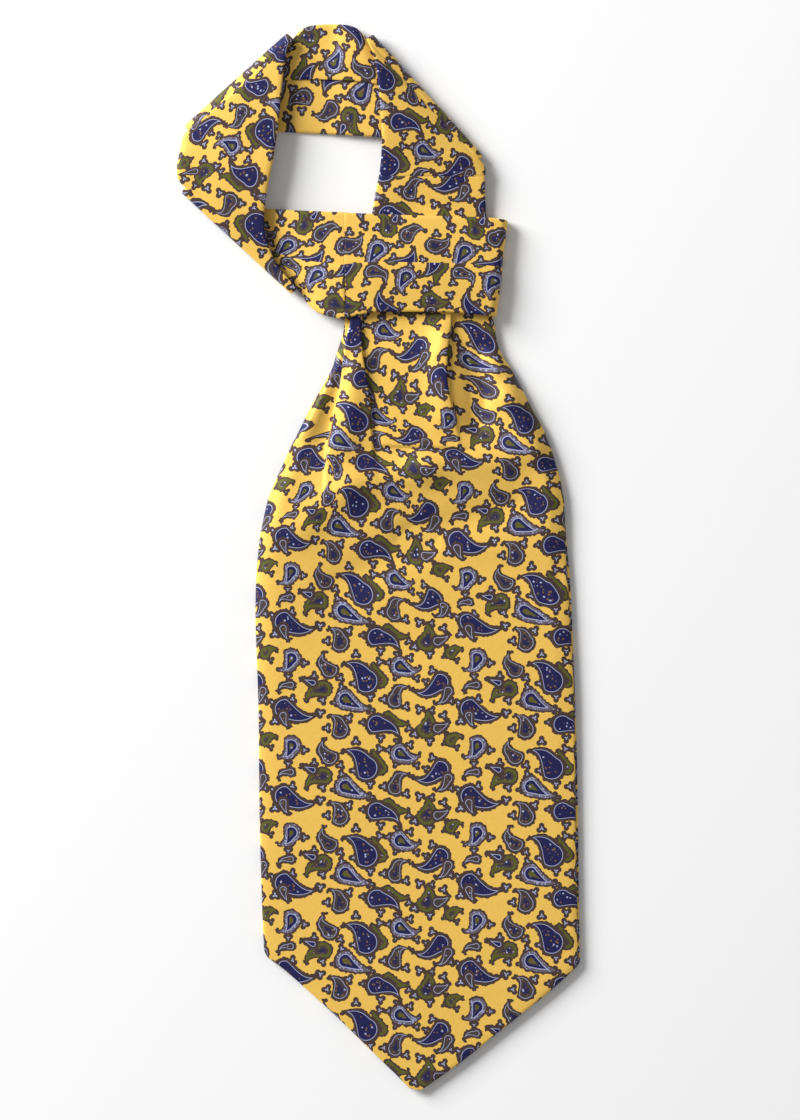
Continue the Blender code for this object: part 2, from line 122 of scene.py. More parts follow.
def cloth_sheet(name, sections, thickness=CLOTH):
    """A sheet whose sections are lists of (place, across, along), all in millimetres."""
    bpy.ops.object.select_all(action="DESELECT")
    columns, rows = len(sections[0]) - 1, len(sections) - 1
    bpy.ops.mesh.primitive_grid_add(x_subdivisions=columns, y_subdivisions=rows, size=1)
    sheet = bpy.context.object
    sheet.name = sheet.data.name = name
    bolt = []
    for vertex in sheet.data.vertices:
        column = round((vertex.co.x + 0.5) * columns)
        row = round((vertex.co.y + 0.5) * rows)
        place, across, along = sections[row][column]
        vertex.co = (place - CENTRE) * MM
        bolt.append((across / UV_UNIT, along / UV_UNIT))
    uv_map = sheet.data.uv_layers.active.data
    for loop in sheet.data.loops:
        uv_map[loop.index].uv = bolt[loop.vertex_index]
    if (sections[0][0][0] - sections[0][-1][0]).length < SAME_PLACE:
        bpy.ops.object.mode_set(mode="EDIT")
        bpy.ops.mesh.select_all(action="SELECT")
        bpy.ops.mesh.remove_doubles(threshold=SAME_PLACE * MM)
        bpy.ops.object.mode_set(mode="OBJECT")
    solidify = sheet.modifiers.new("thickness", "SOLIDIFY")
    solidify.thickness = thickness * MM
    solidify.offset = 0
    bpy.ops.object.modifier_apply(modifier=solidify.name)
    bpy.ops.object.shade_smooth_by_angle(angle=SMOOTH_ANGLE)
    print(name, "has", len(sheet.data.polygons), "faces")
    return sheet


def outward(sections):
    """The sections in the order that turns the faces of a sheet up, or out of a closed panel."""
    return sections[::-1]

# %% [markdown]
# ## The camera
#
# The cravat was photographed from straight above with a long lens, so the camera looks down from far
# away. One millimetre of cloth is a fixed number of pixels, and the image is 800 by 1120 of them.

# %% Camera
PIXEL = 0.475                       # millimetres of cloth under one pixel
IMAGE = (800, 1120)
IMAGE_MIDDLE = Vector((10.69, -0.95, 0))    # the plan under the middle of the image
CAMERA_HEIGHT = 2.8                 # metres
SENSOR = 36.0

camera_data = bpy.data.cameras.new("camera")
camera_data.sensor_fit = "VERTICAL"
camera_data.sensor_height = SENSOR
camera_data.lens = SENSOR * CAMERA_HEIGHT / (IMAGE[1] * PIXEL * MM)
camera = bpy.data.objects.new("camera", camera_data)
camera.location = (IMAGE_MIDDLE - CENTRE) * MM + UP * CAMERA_HEIGHT
bpy.context.scene.collection.objects.link(camera)
bpy.context.scene.camera = camera
print("lens", round(camera_data.lens, 1), "mm")

# %% [markdown]
# ## The neckband's folds
#
# The band is a strip of silk folded to a flattened tube, with a lapped seam down the middle of its
# back. It is turned over at three slanting folds and at the end of the crossing. Paper folds sharply,
# but silk rolls, so each fold is half a round roll about a slanting axis.
#
# A ring holds the two edges of the band at one place, where its face looks and how high its lapped seam
# stands. It also says how full the tube is, because a cross seam presses it thin, and how far the cloth
# has gone past the flat part of a fold.

# %% Rings of the band
FOLD_STEPS = 16
Ring = namedtuple("Ring", "a b face lap full past", defaults=(1.0, 0.0))
FoldLine = namedtuple("FoldLine", "a b outward")
BandRow = namedtuple("BandRow", "ax ay az bx by bz lap")

TOP_LEFT_FOLD = ((-91.4, 205.2), (-43.0, 248.9))
TOP_RIGHT_FOLD = ((50.1, 190.9), (-2.1, 248.4))
LOW_LEFT_FOLD = ((-93.0, 173.2), (-41.0, 125.2))
RIGHT_END_TURN = ((61.8, 160.1), (56.5, 114.5))
LOOP_MIDDLE = Vector((-20.0, 180.0, 0))


def fold_line(corners, height_a, height_b):
    """The axis of a fold whose outermost points in plan are given, inside them by its radius."""
    start, end = Vector((*corners[0], 0)), Vector((*corners[1], 0))
    away = (end - start).normalized().cross(UP)
    if away.dot(start + end - 2 * LOOP_MIDDLE) < 0:
        away = -away
    insets = [(height - RESTING) / 2 + BAND_HALF + CLOTH / 2 for height in (height_a, height_b)]
    return FoldLine(start - away * insets[0], end - away * insets[1], away)


def fold_rings(line, heights, rising, face_outside, lap):
    """Rings round a fold between the table and the given heights, through half a turn."""
    rings = []
    arc = math.pi * (sum(heights) / 2 - RESTING) / 2
    for step in range(FOLD_STEPS + 1):
        angle = math.pi * step / FOLD_STEPS
        turn = -math.cos(angle) if rising else math.cos(angle)
        edges = []
        for axis, height in zip((line.a, line.b), heights):
            radius = (height - RESTING) / 2
            edges.append(axis + line.outward * radius * math.sin(angle)
                         + UP * (RESTING + radius + radius * turn))
        outside = line.outward * math.sin(angle) + UP * turn
        past = arc * (step / FOLD_STEPS - 1) if rising else arc * step / FOLD_STEPS
        rings.append(Ring(edges[0], edges[1], outside if face_outside else -outside, lap, past=past))
    return rings


print("a fold turns in", FOLD_STEPS, "steps")

# %% [markdown]
# ## Flat stretches and seams
#
# Between two folds the band lies flat, or slopes gently over what is beneath it. Its rings follow a
# table, and the curve starts and ends at the rings of the folds, so that no kink shows. At a cross seam
# the stitches pull the cloth down, so the last rings get thinner step by step.

# %% Rings between the folds
def row_of(ring):
    """A table row with a ring's edges."""
    return BandRow(*ring.a, *ring.b, ring.lap)


def flat_rings(rows, face_up, between, start=None, end=None):
    """Rings of a stretch that lies flat, on the smooth curve through its table and its end rings."""
    full = ([row_of(start)] if start else []) + list(rows) + ([row_of(end)] if end else [])
    steps = (len(full) - 1) * between
    dense = [blend(full, step / between) for step in range(steps + 1)]
    dense = dense[1 if start else 0:len(dense) - (1 if end else 0)]
    side = UP if face_up else -UP
    rings = []
    for row in dense:
        edge_a = Vector((row.ax, row.ay, max(row.az, RESTING)))
        edge_b = Vector((row.bx, row.by, max(row.bz, RESTING)))
        across = (edge_b - edge_a).normalized()
        rings.append(Ring(edge_a, edge_b, (side - across * side.dot(across)).normalized(), row.lap))
    return rings


SEAM_TURN = [(-0.7, 0.99), (-0.3, 0.96), (0.0, 0.9), (0.16, 0.8)]     # place past the end, fullness
SEAM_REACH = 1.2


def shifted(ring, by):
    """A ring moved in plan, to leave the gap of a seam."""
    return ring._replace(a=ring.a + by, b=ring.b + by)


def seamed(rings):
    """The rings with their last end turned in, as where a cross seam pulls the cloth down."""
    last, before = rings[-1], rings[-2]
    onward = (last.a + last.b - before.a - before.b).normalized()
    kept = [ring for ring in rings if (last.a + last.b - ring.a - ring.b).dot(onward) > 2 * SEAM_REACH]
    return kept + [shifted(last, onward * by)._replace(full=full) for by, full in SEAM_TURN]


print("a seam takes", len(SEAM_TURN), "rings")

# %% [markdown]
# ## The band's cross-section
#
# One section is the path of the folded cloth: from the hidden under edge out to edge A, round it, over
# the face to edge B, round that and back to the lapped edge, which stands on the other half. The hem of
# the lapped edge turns under and runs back a little, as a maker folds a raw edge in before sewing it.

# %% Path of the cloth round the flattened tube
SIDE_POINTS = 22
ROUND_POINTS = 8
HEM_POINTS = 6
LAP_RISE = 1.3          # the lap has reached its full height before the seam, by this factor


def tube_path(width, lap):
    """Points of one section as (across the band, height, place on the bolt, side of the tube)."""
    seam = width / 2
    half = BAND_HALF
    start = seam + UNDER_LAP
    arc = [math.pi * step / ROUND_POINTS for step in range(1, ROUND_POINTS)]
    hem_arc = [math.pi * step / HEM_POINTS for step in range(1, HEM_POINTS + 1)]
    path = []
    for step in range(SIDE_POINTS + 1):
        across = start + (half - start) * step / SIDE_POINTS
        path.append((across, -half, -across, "back"))
    path += [(half - half * math.sin(angle), -half * math.cos(angle), 0.0, "edge") for angle in arc]
    for step in range(SIDE_POINTS + 1):
        across = half + (width - 2 * half) * step / SIDE_POINTS
        path.append((across, half, across, "face"))
    path += [(width - half + half * math.sin(angle), half * math.cos(angle), width, "edge")
             for angle in arc]
    for step in range(SIDE_POINTS + 1):
        part = step / SIDE_POINTS
        across = width - half + (seam - width + half) * part
        path.append((across, -half - lap * smooth_step(LAP_RISE * part), 2 * width - across, "back"))
    path += [(seam - HEM_RADIUS * math.sin(angle), -half - lap + HEM_RADIUS * (1 - math.cos(angle)),
              2 * width - seam, "hem") for angle in hem_arc]
    path += [(seam + under, -half - lap + 2 * HEM_RADIUS, 2 * width - seam + under, "hem")
             for under in (HEM_UNDER / 2, HEM_UNDER)]
    return path


print("a section has", len(tube_path(BAND_WIDTH, LAP)), "points")

# %% [markdown]
# ## One stretch of the band
#
# A stretch of the band follows its rings. The side that looks up swells a little and ripples, because a
# hand has smoothed the silk and let go, but a side that lies on the table stays flat. The two edges are
# not equally long where the band bends, so the print leans with them.

# %% Lay a stretch of the band
SWELL_SHAPE = 0.6       # below 1, the swell is flat in its middle and steep at both edges
HEADING_SPAN = 7        # rings before and after the one whose heading is taken
PLAIN_OVER = 10         # rings over which the print comes to lie plain


def ripple(across, along, phase):
    """Gentle waves left by handling, at most about a third of a millimetre."""
    return (0.16 * math.sin(along / 9.5 + across / 31.0 + phase)
            + 0.12 * math.sin(along / 5.1 - across / 12.0 + 2.1 * phase)
            + 0.08 * math.sin(across / 4.7 + along / 23.0 + 0.7 * phase))


Laid = namedtuple("Laid", "way a_across a_along b_across b_along")


def band_stretch(name, rings, up_side, puff, laid, phase, plain_from=None):
    """A stretch of the band as one sheet. laid says how its print runs and where each edge was cut.

    From the ring plain_from on, the print lies undistorted in plan, because the cloth only narrows there
    by rolling under.
    """
    travel = (rings[-1].a + rings[-1].b - rings[0].a - rings[0].b).normalized()
    bolt_a, bolt_b = Vector((laid.a_across, laid.a_along)), Vector((laid.b_across, laid.b_along))
    run_a = 0.0
    run_b = (rings[0].b - rings[0].a).dot(travel)
    sections = []
    before = rings[0]
    plain = False
    for index, ring in enumerate(rings):
        run_a += (ring.a - before.a).length
        run_b += (ring.b - before.b).length
        before = ring
        width = (ring.b - ring.a).length
        across_way = (ring.b - ring.a) / width
        slant = (run_b - run_a) / width * ring.past
        short = (BAND_WIDTH / width - 1) * ring.past
        if index == plain_from:
            plain = True
            ahead, behind = rings[index + HEADING_SPAN], rings[index - HEADING_SPAN]
            onward = ahead.a + ahead.b - behind.a - behind.b
            onward = Vector((onward.x, onward.y, 0)).normalized()
            middle = (ring.a + ring.b) / 2
            middle_bolt = (bolt_a + bolt_b + Vector((-BAND_WIDTH, laid.way * (run_a + run_b)))) / 2
        if ring.past == 0:
            flat_start, flat_way = ring.a, across_way
        upward = max(ring.face.z if up_side == "face" else -ring.face.z, 0.0)
        section = []
        for across, height, cut, side in tube_path(width, LAP * ring.lap):
            part = min(max(across / width, 0.0), 1.0)
            along = run_a + (run_b - run_a) * part
            if side == up_side or (side == "hem" and up_side == "back"):
                swell = puff * math.sin(math.pi * part) ** SWELL_SHAPE
                swell += ripple(part * BAND_WIDTH, along, phase) * min(1.0, 5 * part, 5 - 5 * part)
                height += (swell if side == "face" else -swell) * upward
            place = ring.a + across_way * across + ring.face * height * ring.full
            bolt = bolt_a.lerp(bolt_b, min(max(cut / width, 0.0), 1.0))
            bolt += Vector((slant - cut * BAND_WIDTH / width, laid.way * (along + short)))
            if plain and side != "back":
                flat = flat_start + flat_way * across - middle
                flat += flat_way.cross(UP).normalized() * ring.past
                in_plan = Vector((flat.dot(onward.cross(UP)), laid.way * flat.dot(onward)))
                bolt = bolt.lerp(middle_bolt + in_plan, smooth_step((index - plain_from) / PLAIN_OVER))
            section.append((place, *bolt))
        sections.append(section)
    print(name, "leans", round(math.degrees(math.asin((run_b - run_a) / width))), "degrees at its end")
    return cloth_sheet(name, sections)

# %% [markdown]
# ## The neckband, stretch by stretch
#
# The tables follow the band from the front blade: up the right leg, over the top-right fold, along the
# top with its back showing, over the top-left fold, down the left leg, under the soft lower-left roll,
# and along the crossing, again with its back showing. Edge A is the outer edge on the right leg.

# %% Tables of the four stretches
def band_rows(*rows):
    """Rows of a table: x, y and height of edge A, those of edge B, and the lap's share."""
    return [BandRow(*row) for row in rows]


TOP_STRIP = band_rows(
    (-64.0, 203.6, 1.0, -37.4, 249.4, 1.0, 1.0),
    (-42.5, 202.3, 1.0, -32.5, 252.3, 1.0, 1.0),
    (-27.3, 201.6, 1.0, -23.0, 253.2, 1.0, 1.0),
    (-10.0, 200.6, 2.4, -16.0, 252.9, 2.2, 1.0),
    (6.0, 199.4, 2.6, -10.8, 251.6, 3.0, 1.0),
    (26.0, 196.2, 1.4, -7.6, 249.0, 2.0, 1.0),
)
LEFT_LEG = band_rows(
    (-91.8, 200.2, 5.2, -43.4, 238.0, 7.6, 0.6),
    (-93.0, 195.0, 5.6, -45.4, 223.7, 8.2, 0.6),
    (-94.0, 190.2, 6.1, -47.0, 207.1, 8.6, 0.6),
    (-94.8, 185.6, 6.4, -49.5, 189.5, 8.6, 0.6),
    (-94.8, 182.0, 6.5, -52.4, 174.5, 8.4, 0.6),
    (-94.0, 179.2, 6.4, -53.9, 161.5, 7.8, 0.6),
    (-92.6, 177.2, 6.3, -52.4, 150.0, 7.0, 0.6),
    (-91.5, 176.3, 6.2, -47.6, 139.0, 6.3, 0.6),
)
CROSSING_LEFT = band_rows(
    (-74.0, 170.4, 1.0, -36.0, 125.6, 1.0, 1.0),
    (-59.0, 166.5, 1.0, -33.4, 121.4, 1.3, 1.0),
    (-47.0, 165.2, 2.8, -30.2, 118.0, 3.4, 1.0),
    (-36.0, 164.6, 4.3, -26.2, 115.8, 5.0, 1.0),
    (-25.5, 164.1, 5.2, -21.3, 114.3, 6.2, 1.0),
    (-15.6, 163.7, 5.6, -15.7, 113.1, 6.9, 1.0),
)
RIGHT_LEG = band_rows(
    (49.4, 187.6, 4.4, -1.6, 238.0, 9.0, 0.6),
    (50.5, 186.0, 4.2, 0.4, 226.5, 10.0, 0.6),
    (51.0, 184.6, 4.2, 1.5, 214.0, 9.8, 0.6),
    (51.1, 183.3, 4.5, 2.3, 200.5, 8.0, 0.6),
    (51.0, 182.2, 4.7, 1.9, 189.5, 5.6, 0.6),
    (50.8, 181.2, 4.6, 0.9, 181.2, 4.6, 0.6),
)

# %% [markdown]
# ## Folding the stretches
#
# Each fold is shared by two stretches. The one beneath ends just short of the roll, where a small gap
# stands in for the crease, and the one above begins with the whole roll. So the cloth is bent only once,
# and the two sheets never share a face.

# %% Fold the four stretches
LEG_HEIGHTS = (5.0, 7.0)        # of the outer and the inner edge, where a leg lies on the top strip
ROLL_HEIGHTS = (6.2, 6.2)       # where the left leg rolls under
PRESSED = 0.6                   # share of the lap's height where the back of the band is pressed down
SEAM_GAP = 0.3
PLAIN_AFTER = 27                # rings of the left leg whose print still follows the fold

top_right = fold_line(TOP_RIGHT_FOLD, *LEG_HEIGHTS)
top_left = fold_line(TOP_LEFT_FOLD, *LEG_HEIGHTS)
low_left = fold_line(LOW_LEFT_FOLD, *ROLL_HEIGHTS)
right_fold = fold_rings(top_right, LEG_HEIGHTS, True, True, PRESSED)
left_fold = fold_rings(top_left, LEG_HEIGHTS, True, True, PRESSED)
low_fold = fold_rings(low_left, ROLL_HEIGHTS, False, True, PRESSED)

right_leg = flat_rings(RIGHT_LEG, True, 8, start=right_fold[-1])
neckband_right = band_stretch("neckband_right_silk", seamed(right_fold + right_leg), "face", 0.35,
                              Laid(1, 11.2, 10.7, 11.2, 10.7), 0.4)

strip_start = shifted(left_fold[0], -top_left.outward * SEAM_GAP)
strip_end = shifted(right_fold[0], -top_right.outward * SEAM_GAP)
strip = [strip_start] + flat_rings(TOP_STRIP, False, 12, strip_start, strip_end) + [strip_end]
neckband_top = band_stretch("neckband_top_silk", strip, "back", 0.25, Laid(1, 24.1, 29.9, 48.8, 27.3), 1.3)

left_leg = flat_rings(LEFT_LEG, True, 7, left_fold[-1], low_fold[0])
neckband_left = band_stretch("neckband_left_silk", left_fold + left_leg + low_fold, "face", 0.5,
                             Laid(-1, 8.6, 29.7, 8.6, 29.7), 2.2, plain_from=len(left_fold) + PLAIN_AFTER)

crossing_start = shifted(low_fold[-1], -low_left.outward * SEAM_GAP)
crossing = [crossing_start] + flat_rings(CROSSING_LEFT, False, 10, crossing_start)
neckband_crossing = band_stretch("neckband_crossing_silk", seamed(crossing), "back", 0.2,
                                 Laid(-1, 24.9, 0.3, 49.9, 2.9), 3.0)

# %% [markdown]
# ## The necks of the two blades
#
# Each blade narrows to a neck of the band's own width, sewn to it by a cross seam. The second blade's
# neck makes the right half of the crossing: it lies over the pleats, turns down round the right end and
# goes behind. The front blade's neck runs under the crossing from the seam at the right leg.

# %% Fold the two necks
NECK_HEIGHT = 3.3
RIGHT_END_HEIGHTS = (5.6, 7.1)
CROSSING_RIGHT = band_rows(
    (-15.5, 163.6, 5.65, -15.6, 113.8, 7.0, 1.0),
    (1.2, 162.8, 6.0, 1.2, 116.8, 7.5, 1.0),
    (20.2, 162.2, 6.0, 20.2, 116.8, 7.5, 1.0),
    (38.0, 161.7, 6.0, 37.5, 116.4, 7.4, 1.0),
    (51.0, 161.3, 5.8, 47.5, 115.5, 7.2, 0.8),
)
UNDER_END = band_rows(
    (51.0, 160.6, 1.0, 48.5, 115.6, 1.0, 0.0),
    (44.3, 160.6, 1.0, 44.3, 116.0, 1.0, 0.0),
)
FRONT_NECK = band_rows(
    (50.7, 180.9, 4.6, 0.8, 180.9, 4.6, 0.5),
    (50.9, 172.0, 3.9, -1.0, 172.0, 3.9, 0.4),
    (51.3, 164.5, NECK_HEIGHT, -2.2, 164.5, NECK_HEIGHT, 0.0),
    (52.6, 150.0, NECK_HEIGHT, -4.6, 150.0, NECK_HEIGHT, 0.0),
    (53.0, 135.0, NECK_HEIGHT, -8.6, 135.0, NECK_HEIGHT, 0.0),
    (52.2, 120.3, NECK_HEIGHT, -13.6, 120.3, NECK_HEIGHT, 0.0),
)

end_turn = fold_line(RIGHT_END_TURN, *RIGHT_END_HEIGHTS)
right_end = fold_rings(end_turn, RIGHT_END_HEIGHTS, False, False, 0.0)
right_end = [ring._replace(lap=0.5 * (1 - step / FOLD_STEPS)) for step, ring in enumerate(right_end)]
over = flat_rings(CROSSING_RIGHT, False, 10, end=right_end[0])
under = flat_rings(UNDER_END, True, 3)
over = seamed(over[::-1])[::-1]
second_neck = band_stretch("second_blade_neck_silk", over + right_end + under, "back", 0.2,
                           Laid(-1, 25.0, 2.9, 48.9, 0.8), 4.1)
neck = seamed(flat_rings(FRONT_NECK, True, 8)[::-1])[::-1]
front_neck = band_stretch("front_blade_neck_silk", neck, "face", 0.25, Laid(1, 12.7, 17.1, 12.7, 17.1), 5.0)

# %% [markdown]
# ## The front blade's face
#
# This is the piece that everyone looks at. Below the crossing three pleats hold its width: a narrow
# ridge on the left between two folded edges, and the right edge of the centre panel, which throws a
# shadow on the cloth beside it. Each row of the table gives the two edges, the places of the three
# pleats, how high the cloth billows there, and by how many degrees each pleat turns. Without turns the
# cloth lies plain.

# %% Sections of the face
FaceRow = namedtuple("FaceRow", "left_x left_y right_x right_y pleat_1 pleat_2 pleat_3 lift "
                                "turn_1 turn_2 turn_3", defaults=(0, 0, 0))
FRONT_FACE = [FaceRow(*row) for row in (
    (-15.0, 120.0, 51.8, 120.0, -12.4, -8.0, 35.3, 0.0, 60, 60, 65),
    (-15.3, 112.0, 55.0, 112.0, -12.8, -8.0, 35.0, 0.0, 95, 95, 100),
    (-16.9, 104.0, 56.3, 104.0, -14.6, -7.8, 33.6, 0.2, 115, 115, 125),
    (-19.2, 97.0, 58.5, 97.0, -15.8, -7.4, 32.8, 0.9, 120, 125, 130),
    (-21.6, 89.3, 63.4, 89.3, -16.4, -6.2, 32.6, 1.3, 122, 128, 122),
    (-26.8, 79.8, 68.6, 79.8, -17.8, -4.6, 33.6, 1.7, 116, 118, 92),
    (-32.1, 70.3, 73.4, 70.3, -20.0, -3.4, 36.2, 2.0, 100, 96, 58),
    (-36.8, 60.8, 78.6, 60.8, -22.0, -2.6, 38.2, 2.1, 76, 64, 30),
    (-41.6, 51.3, 82.4, 51.3, -23.8, -1.6, 39.5, 2.1, 50, 36, 12),
    (-45.8, 41.8, 85.3, 41.8, -24.8, -0.6, 40.5, 2.1, 27, 14, 0),
    (-50.1, 32.3, 87.6, 32.3, -25.2, 0.5, 41.2, 2.0, 10, 0, 0),
    (-53.0, 22.8, 88.6, 22.8, -25.4, 1.2, 41.6, 1.9),
    (-56.3, 3.8, 89.1, 3.8, -25.0, 2.0, 42.0, 1.5),
    (-57.7, -24.7, 91.0, -24.7, -25.0, 2.0, 42.0, 0.9),
    (-56.3, -72.0, 93.3, -72.0, -25.0, 2.0, 42.0, 0.5),
    (-55.6, -130.0, 94.0, -130.0, -25.0, 2.0, 42.0, 0.3),
    (-53.5, -186.4, 95.3, -191.2, -25.0, 2.0, 42.0, 0.2),
    (-52.5, -188.6, 94.3, -193.4, -24.8, 2.2, 41.8, 0.2),
    (-43.4, -195.8, 82.0, -205.2, -22.0, 6.0, 36.0, 0.2),
    (-22.1, -214.8, 58.2, -224.2, -8.0, 11.0, 30.0, 0.1),
    (-2.6, -233.8, 38.3, -240.0, 4.0, 14.0, 26.0, 0.0),
    (15.6, -251.6, 20.6, -252.4, 16.8, 18.0, 19.4, 0.0),
)]
print("the face has", len(FRONT_FACE), "rows")

# %% [markdown]
# ## Walking through the pleats
#
# A knife pleat is a path: the cloth turns under, runs back and turns forward again. Its turns weaken
# further down, and the pleat opens into a soft wave. Each section walks along the cloth by its heading,
# so no pleat is drawn by hand. Both side edges are turned under, as a maker folds them before sewing.

# %% Walk through the pleats
TURN_RADIUS = 0.62
TURN_REACH = math.radians(120)
TURN_STEPS = 7
PLEAT_RISER = 0.5
EDGE_ROLL = 0.7         # radius of the turned edge along both sides
EDGE_UNDER = 2.4        # how far the turned edge runs back beneath the face
EDGE_POINTS = 6
EDGE_PRINT = 0.6        # millimetres of print from one step of the turned edge to the next
TIP_SPAN = 20.0         # where the blade is narrower than this, its turned edges get smaller
PANEL_PARTS = (12, 12, 36, 34)
PLEAT_RESTS = 4         # steps at both ends of a pleat that keep their panel's print
Step = namedtuple("Step", "x z cloth panel")


def pleat_path(turn, rising):
    """Headings and lengths of the cloth through one pleat: a turn, its riser and the turn back."""
    sign = 1 if rising else -1
    piece = TURN_RADIUS * TURN_REACH / TURN_STEPS
    away = [(sign * math.radians(turn) * (step + 0.5) / TURN_STEPS, piece)
            for step in range(TURN_STEPS)]
    return away + [(sign * math.radians(turn), PLEAT_RISER)] + away[::-1]


def rolled_edge(x, side, shrink, panel):
    """Steps of a turned edge, from its hidden end up to the face, for the left side (-1) or right."""
    radius = EDGE_ROLL * shrink
    under = EDGE_UNDER * shrink
    centre = x - side * radius
    places = [(centre - side * under * (1 - part / 3), -2 * radius) for part in range(3)]
    for step in range(EDGE_POINTS + 1):
        angle = math.pi * step / EDGE_POINTS
        places.append((centre + side * radius * math.sin(angle), -radius - radius * math.cos(angle)))
    return [Step(place_x, z, centre + side * EDGE_PRINT * (len(places) - index), panel)
            for index, (place_x, z) in enumerate(places)]


def face_steps(row):
    """The cloth across one section of the face from left to right, with its place in the print."""
    shrink = min(1.0, (row.right_x - row.left_x) / TIP_SPAN)
    pleats = [(row.pleat_1, pleat_path(row.turn_1, True)),
              (row.pleat_2, pleat_path(row.turn_2, False)),
              (row.pleat_3, pleat_path(row.turn_3, False))]
    drops = [-sum(length * math.sin(heading) for heading, length in path) for _, path in pleats]
    foots = [0.0, drops[1], drops[2]]
    steps = rolled_edge(row.left_x, -1, shrink, 0)
    x, z = steps[-1].x, 0.0
    for panel, ((place, path), foot, parts) in enumerate(zip(pleats, foots, PANEL_PARTS)):
        side = sum(length * math.cos(heading) for heading, length in path)
        end = place - side / 2
        start_x, start_z = x, z
        for step in range(1, parts + 1):
            part = step / parts
            x = start_x + (end - start_x) * part
            steps.append(Step(x, start_z + (foot - start_z) * part, x, panel))
        z = steps[-1].z
        for step, (heading, length) in enumerate(path):
            x += length * math.cos(heading)
            z += length * math.sin(heading)
            turned = smooth_step((step - PLEAT_RESTS) / (len(path) - 1 - 2 * PLEAT_RESTS))
            steps.append(Step(x, z, x, panel + turned))
    right = rolled_edge(row.right_x, 1, shrink, 3)[::-1]
    end = right[0].x
    start_x = x
    for step in range(1, PANEL_PARTS[3] + 1):
        part = step / PANEL_PARTS[3]
        x = start_x + (end - start_x) * part
        steps.append(Step(x, z * (1 - part), x, 3))
    return steps + right[1:]

# %% [markdown]
# ## Creases, tucks and the billow
#
# Silk held by pleats never lies quite flat below them. It billows a little, with soft troughs that run
# down from the pleats, a slanting tuck at the right where cloth is caught under the crossing, and a
# level tuck below the centre panel. Each mark is a line in plan with its own height and spread.

# %% Marks on the face
Crease = namedtuple("Crease", "x0 y0 x1 y1 height spread")
Tuck = namedtuple("Tuck", "x0 y0 x1 y1 rise fade")
CREASES = [Crease(*row) for row in (
    (-36.0, 14.0, -14.0, 33.0, 1.7, 9.0),
    (-14.0, 33.0, 22.0, 42.0, 1.5, 8.0),
    (22.0, 42.0, 62.0, 48.0, 1.8, 8.0),
    (-18.0, -14.0, 18.0, 9.0, -1.3, 9.0),
    (18.0, 9.0, 66.0, 26.0, -1.5, 9.0),
    (30.0, 104.0, 32.5, 68.0, 1.7, 7.0),
    (48.0, 102.0, 47.5, 66.0, -2.6, 6.0),
    (-17.0, 92.0, -25.0, 56.0, -1.4, 5.0),
    (-20.5, 93.0, -36.0, 60.0, 1.6, 4.0),
    (41.0, 106.0, 44.0, 96.0, -1.6, 5.0),
    (-31.0, 56.0, -36.0, 44.0, -0.8, 7.0),
    (48.0, 98.0, 62.0, 76.0, 1.6, 6.0),
    (62.0, 76.0, 73.0, 52.0, 1.6, 7.0),
    (-9.0, 92.0, -15.0, 56.0, 1.2, 6.0),
    (38.0, -2.0, 84.0, -10.0, -0.6, 8.0),
    (-24.0, -34.0, 10.0, -46.0, -0.5, 12.0),
)]
TUCKS = [Tuck(*row) for row in (
    (33.5, 107.0, 58.0, 99.0, 1.2, 14.0),
    (39.0, 51.5, 3.6, 52.5, 0.9, 12.0),
)]
BILLOW_SLOPE = 20       # the billow is full at a twentieth of the width from each edge
EDGE_PRESSED = 2.6      # width along each edge that the seam holds down
TUCK_STEP = 1.1         # width of a tuck's steep side
TUCK_END = 4.0          # length over which its ends fade


def near_line(x, y, mark):
    """How far a point lies to the left of a marked line, how far from it, and how far past its end."""
    start = Vector((mark.x0, mark.y0))
    along = Vector((mark.x1, mark.y1)) - start
    length = along.length
    along.normalize()
    step = Vector((x, y)) - start
    place = step.dot(along)
    beyond = max(-place, place - length, 0.0)
    left = along.x * step.y - along.y * step.x
    return left, math.hypot(left, beyond), beyond


def relief(x, y, row):
    """Height of the billow, creases and tucks over the flat lie of the cloth."""
    part = (x - row.left_x) / max(row.right_x - row.left_x, 1.0)
    height = row.lift * min(1.0, BILLOW_SLOPE * part, BILLOW_SLOPE * (1 - part))
    for crease in CREASES:
        distance = near_line(x, y, crease)[1]
        height += crease.height * math.exp(-(distance / crease.spread) ** 2)
    for tuck in TUCKS:
        left, _, beyond = near_line(x, y, tuck)
        below = max(-left, 0.0)
        height += (tuck.rise * min(below / TUCK_STEP, 1.0) * math.exp(-(below / tuck.fade) ** 2)
                   * math.exp(-(beyond / TUCK_END) ** 2))
    edge = max(min(x - row.left_x, row.right_x - x), 0.0)
    waves = 0.12 * math.sin(x / 13.0 + y / 37.0) + 0.1 * math.sin(y / 17.0 - x / 29.0 + 1.0)
    return (max(height, 0.0) + waves + 0.2) * smooth_step(edge / EDGE_PRESSED)

# %% [markdown]
# ## How the print lies on the pleated cloth
#
# Where the face is plain, the print runs on in its even repeat. In the pleats the cloth was pulled
# sideways and up, so the print has slid there. Each slide says how far a motif of one panel lies from
# its place in the plain repeat, and a smooth mix of the slides near a point moves the print.

